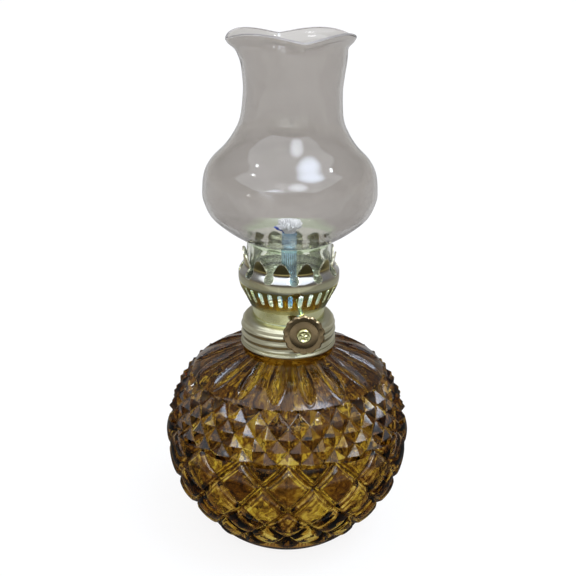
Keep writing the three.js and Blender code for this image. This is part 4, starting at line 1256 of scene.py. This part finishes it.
# %% Floor
FLOOR_REACH = 60
floor_corners = [(x * FLOOR_REACH, y * FLOOR_REACH, 0) for x, y in ((-1, -1), (1, -1), (1, 1), (-1, 1))]
floor = make_mesh("floor", floor_corners, [(0, 1, 2, 3)])
paper, floor_tree, floor_shader = new_material("Pale paper", Base_Color=(0.92, 0.92, 0.92), Roughness=0.9)
paper_share = 0.88  # of the floor's look that is plain white; the rest takes light and shadow
rays = light_path(floor_tree)
mirrored = calculate(floor_tree, "SUBTRACT", rays["Is Glossy Ray"], rays["Is Transmission Ray"], clamp=True)
seen = calculate(floor_tree, "ADD", rays["Is Camera Ray"], rays["Is Transmission Ray"], clamp=True)
seen = calculate(floor_tree, "MULTIPLY", seen, paper_share)

# Along Y the card starts in front of the lamp, and it dims far out. Two stripes on it are a bit brighter.
card_near, card_full, card_dim, card_far = -0.17, -0.27, -0.45, -1.8
card_share, dark_share, side_share, far_share = 0.8, 0.07, 0.45, 0.5
side_near, side_full = 0.19, 0.27
stripe_slant, stripe_reach, stripe_boost = 0.4, 0.03, 1.25
place = own_place(floor_tree)
floor_x, floor_y, _ = parts_of(floor_tree, place)
card = remap(floor_tree, floor_y, card_near, card_full, 0.0, card_share)
card = calculate(floor_tree, "MULTIPLY", card, remap(floor_tree, floor_y, card_dim, card_far, 1.0, far_share))
from_lamp = add(floor_tree, "ShaderNodeVectorMath", {"Vector": place}, operation="LENGTH").outputs["Value"]
beside = remap(floor_tree, from_lamp, side_near, side_full, dark_share, side_share)
card = calculate(floor_tree, "MAXIMUM", card, beside)
slant = calculate(floor_tree, "ABSOLUTE", calculate(floor_tree, "DIVIDE", floor_x, floor_y))
off_stripe = calculate(floor_tree, "ABSOLUTE", calculate(floor_tree, "SUBTRACT", slant, stripe_slant))
stripe = remap(floor_tree, off_stripe, stripe_reach, 0.4 * stripe_reach, 1.0, stripe_boost)
card_light = calculate(floor_tree, "MULTIPLY", mirrored, calculate(floor_tree, "MULTIPLY", card, stripe))
glow_strength = calculate(floor_tree, "ADD", calculate(floor_tree, "SUBTRACT", 1.0, mirrored), card_light)
paper_light = add(floor_tree, "ShaderNodeEmission", {"Strength": glow_strength})
mix_shaders(floor_tree, calculate(floor_tree, "ADD", seen, mirrored, clamp=True), floor_shader, paper_light)
floor.data.materials.append(paper)


# %% Lights
def panel(name, place, width, depth, watts, colour, target=(0, 0, 0.1)):
    """A soft rectangular lamp that faces a target."""
    light = bpy.data.lights.new(name, "AREA")
    light.shape = "RECTANGLE"
    light.size = width
    light.size_y = depth
    light.energy = watts
    light.color = colour
    lamp = put_in_scene(name, light)
    lamp.location = place
    lamp.rotation_mode = "QUATERNION"
    lamp.rotation_quaternion = (Vector(target) - Vector(place)).to_track_quat("-Z", "Y")
    return lamp


spot_size, spot_watts, spot_colour = 0.08, 0.4, (0.88, 0.94, 1.0)
panel("ceiling panel", (0.2, 0.5, 1.6), width=1.5, depth=1.0, watts=5, colour=(0.94, 0.97, 1.0))
for number, spot_place in enumerate([(-0.7, -0.1, 1.2), (0.75, 0.1, 1.2)], 1):
    panel(f"small spot {number}", spot_place, spot_size, spot_size, spot_watts, spot_colour)

# Small lamps hidden in the glass and in the burner light the tuft and the plating from within.
deck_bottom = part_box("air_deck")[0].z
hidden_lamps = [
    ("tuft lamp", (0.004, -0.006, wick_high.z + 12 * MM), 18 * MM, 0.0058, (0.9, 0.96, 1.0)),
    ("fitter lamp", (0, 0, tube_high.z - 2 * MM), 22 * MM, 0.0012, (0.98, 1.0, 0.9)),
    ("burner lamp", (0, 0, deck_bottom - 1 * MM), 24 * MM, 0.0080, (0.8, 0.9, 1.0)),
]
for name, place, width, watts, colour in hidden_lamps:
    hidden = panel(name, place, width, width, watts, colour, (place[0], place[1], 0))
    hidden.visible_camera = hidden.visible_transmission = False
    hidden.visible_glossy = name != "tuft lamp"

# %% World
world = bpy.data.worlds.new("studio")
world.use_nodes = True
bpy.context.scene.world = world
sky = world.node_tree
way = add(sky, "ShaderNodeTexCoord").outputs["Generated"]
way_x, way_y, way_z = parts_of(sky, way)


def glow(azimuth, elevation, outer, inner):
    """A soft round patch of the sky: 1 within the inner angle of its centre, 0 beyond the outer."""
    a, e = math.radians(azimuth), math.radians(elevation)
    centre = (math.cos(e) * math.sin(a), -math.cos(e) * math.cos(a), math.sin(e))
    dot = add(sky, "ShaderNodeVectorMath", operation="DOT_PRODUCT")
    plug(sky, dot.inputs[0], way)
    plug(sky, dot.inputs[1], centre)
    low, high = math.cos(math.radians(outer)), math.cos(math.radians(inner))
    return remap(sky, dot.outputs["Value"], low, high, smooth=True)


# The ceiling is a rectangle on a plane above, where x / z and y / z are the place on that plane.
edge_blur = 0.06
horizon = 0.02
ceiling_light = (1.5, 1.57, 1.70)
ceiling_edges = [(way_x, -1.5, 1.25), (way_y, -1.7, 0.1)]
height_above = calculate(sky, "MAXIMUM", way_z, horizon)
ceiling = 1.0
for way_part, low, high in ceiling_edges:
    on_plane = calculate(sky, "DIVIDE", way_part, height_above)
    for edge, inwards in ((low, edge_blur), (high, -edge_blur)):
        past_edge = remap(sky, on_plane, edge - inwards, edge + inwards, smooth=True)
        ceiling = calculate(sky, "MULTIPLY", past_edge, ceiling)
dim_sky = [(0.0, (0.42, 0.40, 0.36)), (0.3, (0.26, 0.25, 0.24)), (1.0, (0.16, 0.17, 0.20))]
lit = mix_colours(sky, ceiling, colour_ramp(sky, way_z, dim_sky), ceiling_light)

# The window and the lamp: azimuth, elevation, outer and inner angle in degrees, and light.
sky_glows = [(52, 64, 17, 3, (9.0, 10.3, 12.6)), (13, 44, 14, 1, (7.0, 7.6, 8.6))]
for *angles, light in sky_glows:
    lit = mix_colours(sky, glow(*angles), lit, light)

# Seen directly, or low down through glass, the sky is as white as the floor.
dim_above, white_below = 0.3, 0.15
rays = light_path(sky)
low_sky = remap(sky, way_z, dim_above, white_below)
through_glass = calculate(sky, "MULTIPLY", rays["Is Transmission Ray"], low_sky)
sky_seen = calculate(sky, "ADD", rays["Is Camera Ray"], through_glass, clamp=True)
feed(sky, sky.nodes["Background"], Color=mix_colours(sky, sky_seen, lit, (1.0, 1.0, 1.0)), Strength=1.0)
bpy.context.scene.view_settings.view_transform = "Standard"
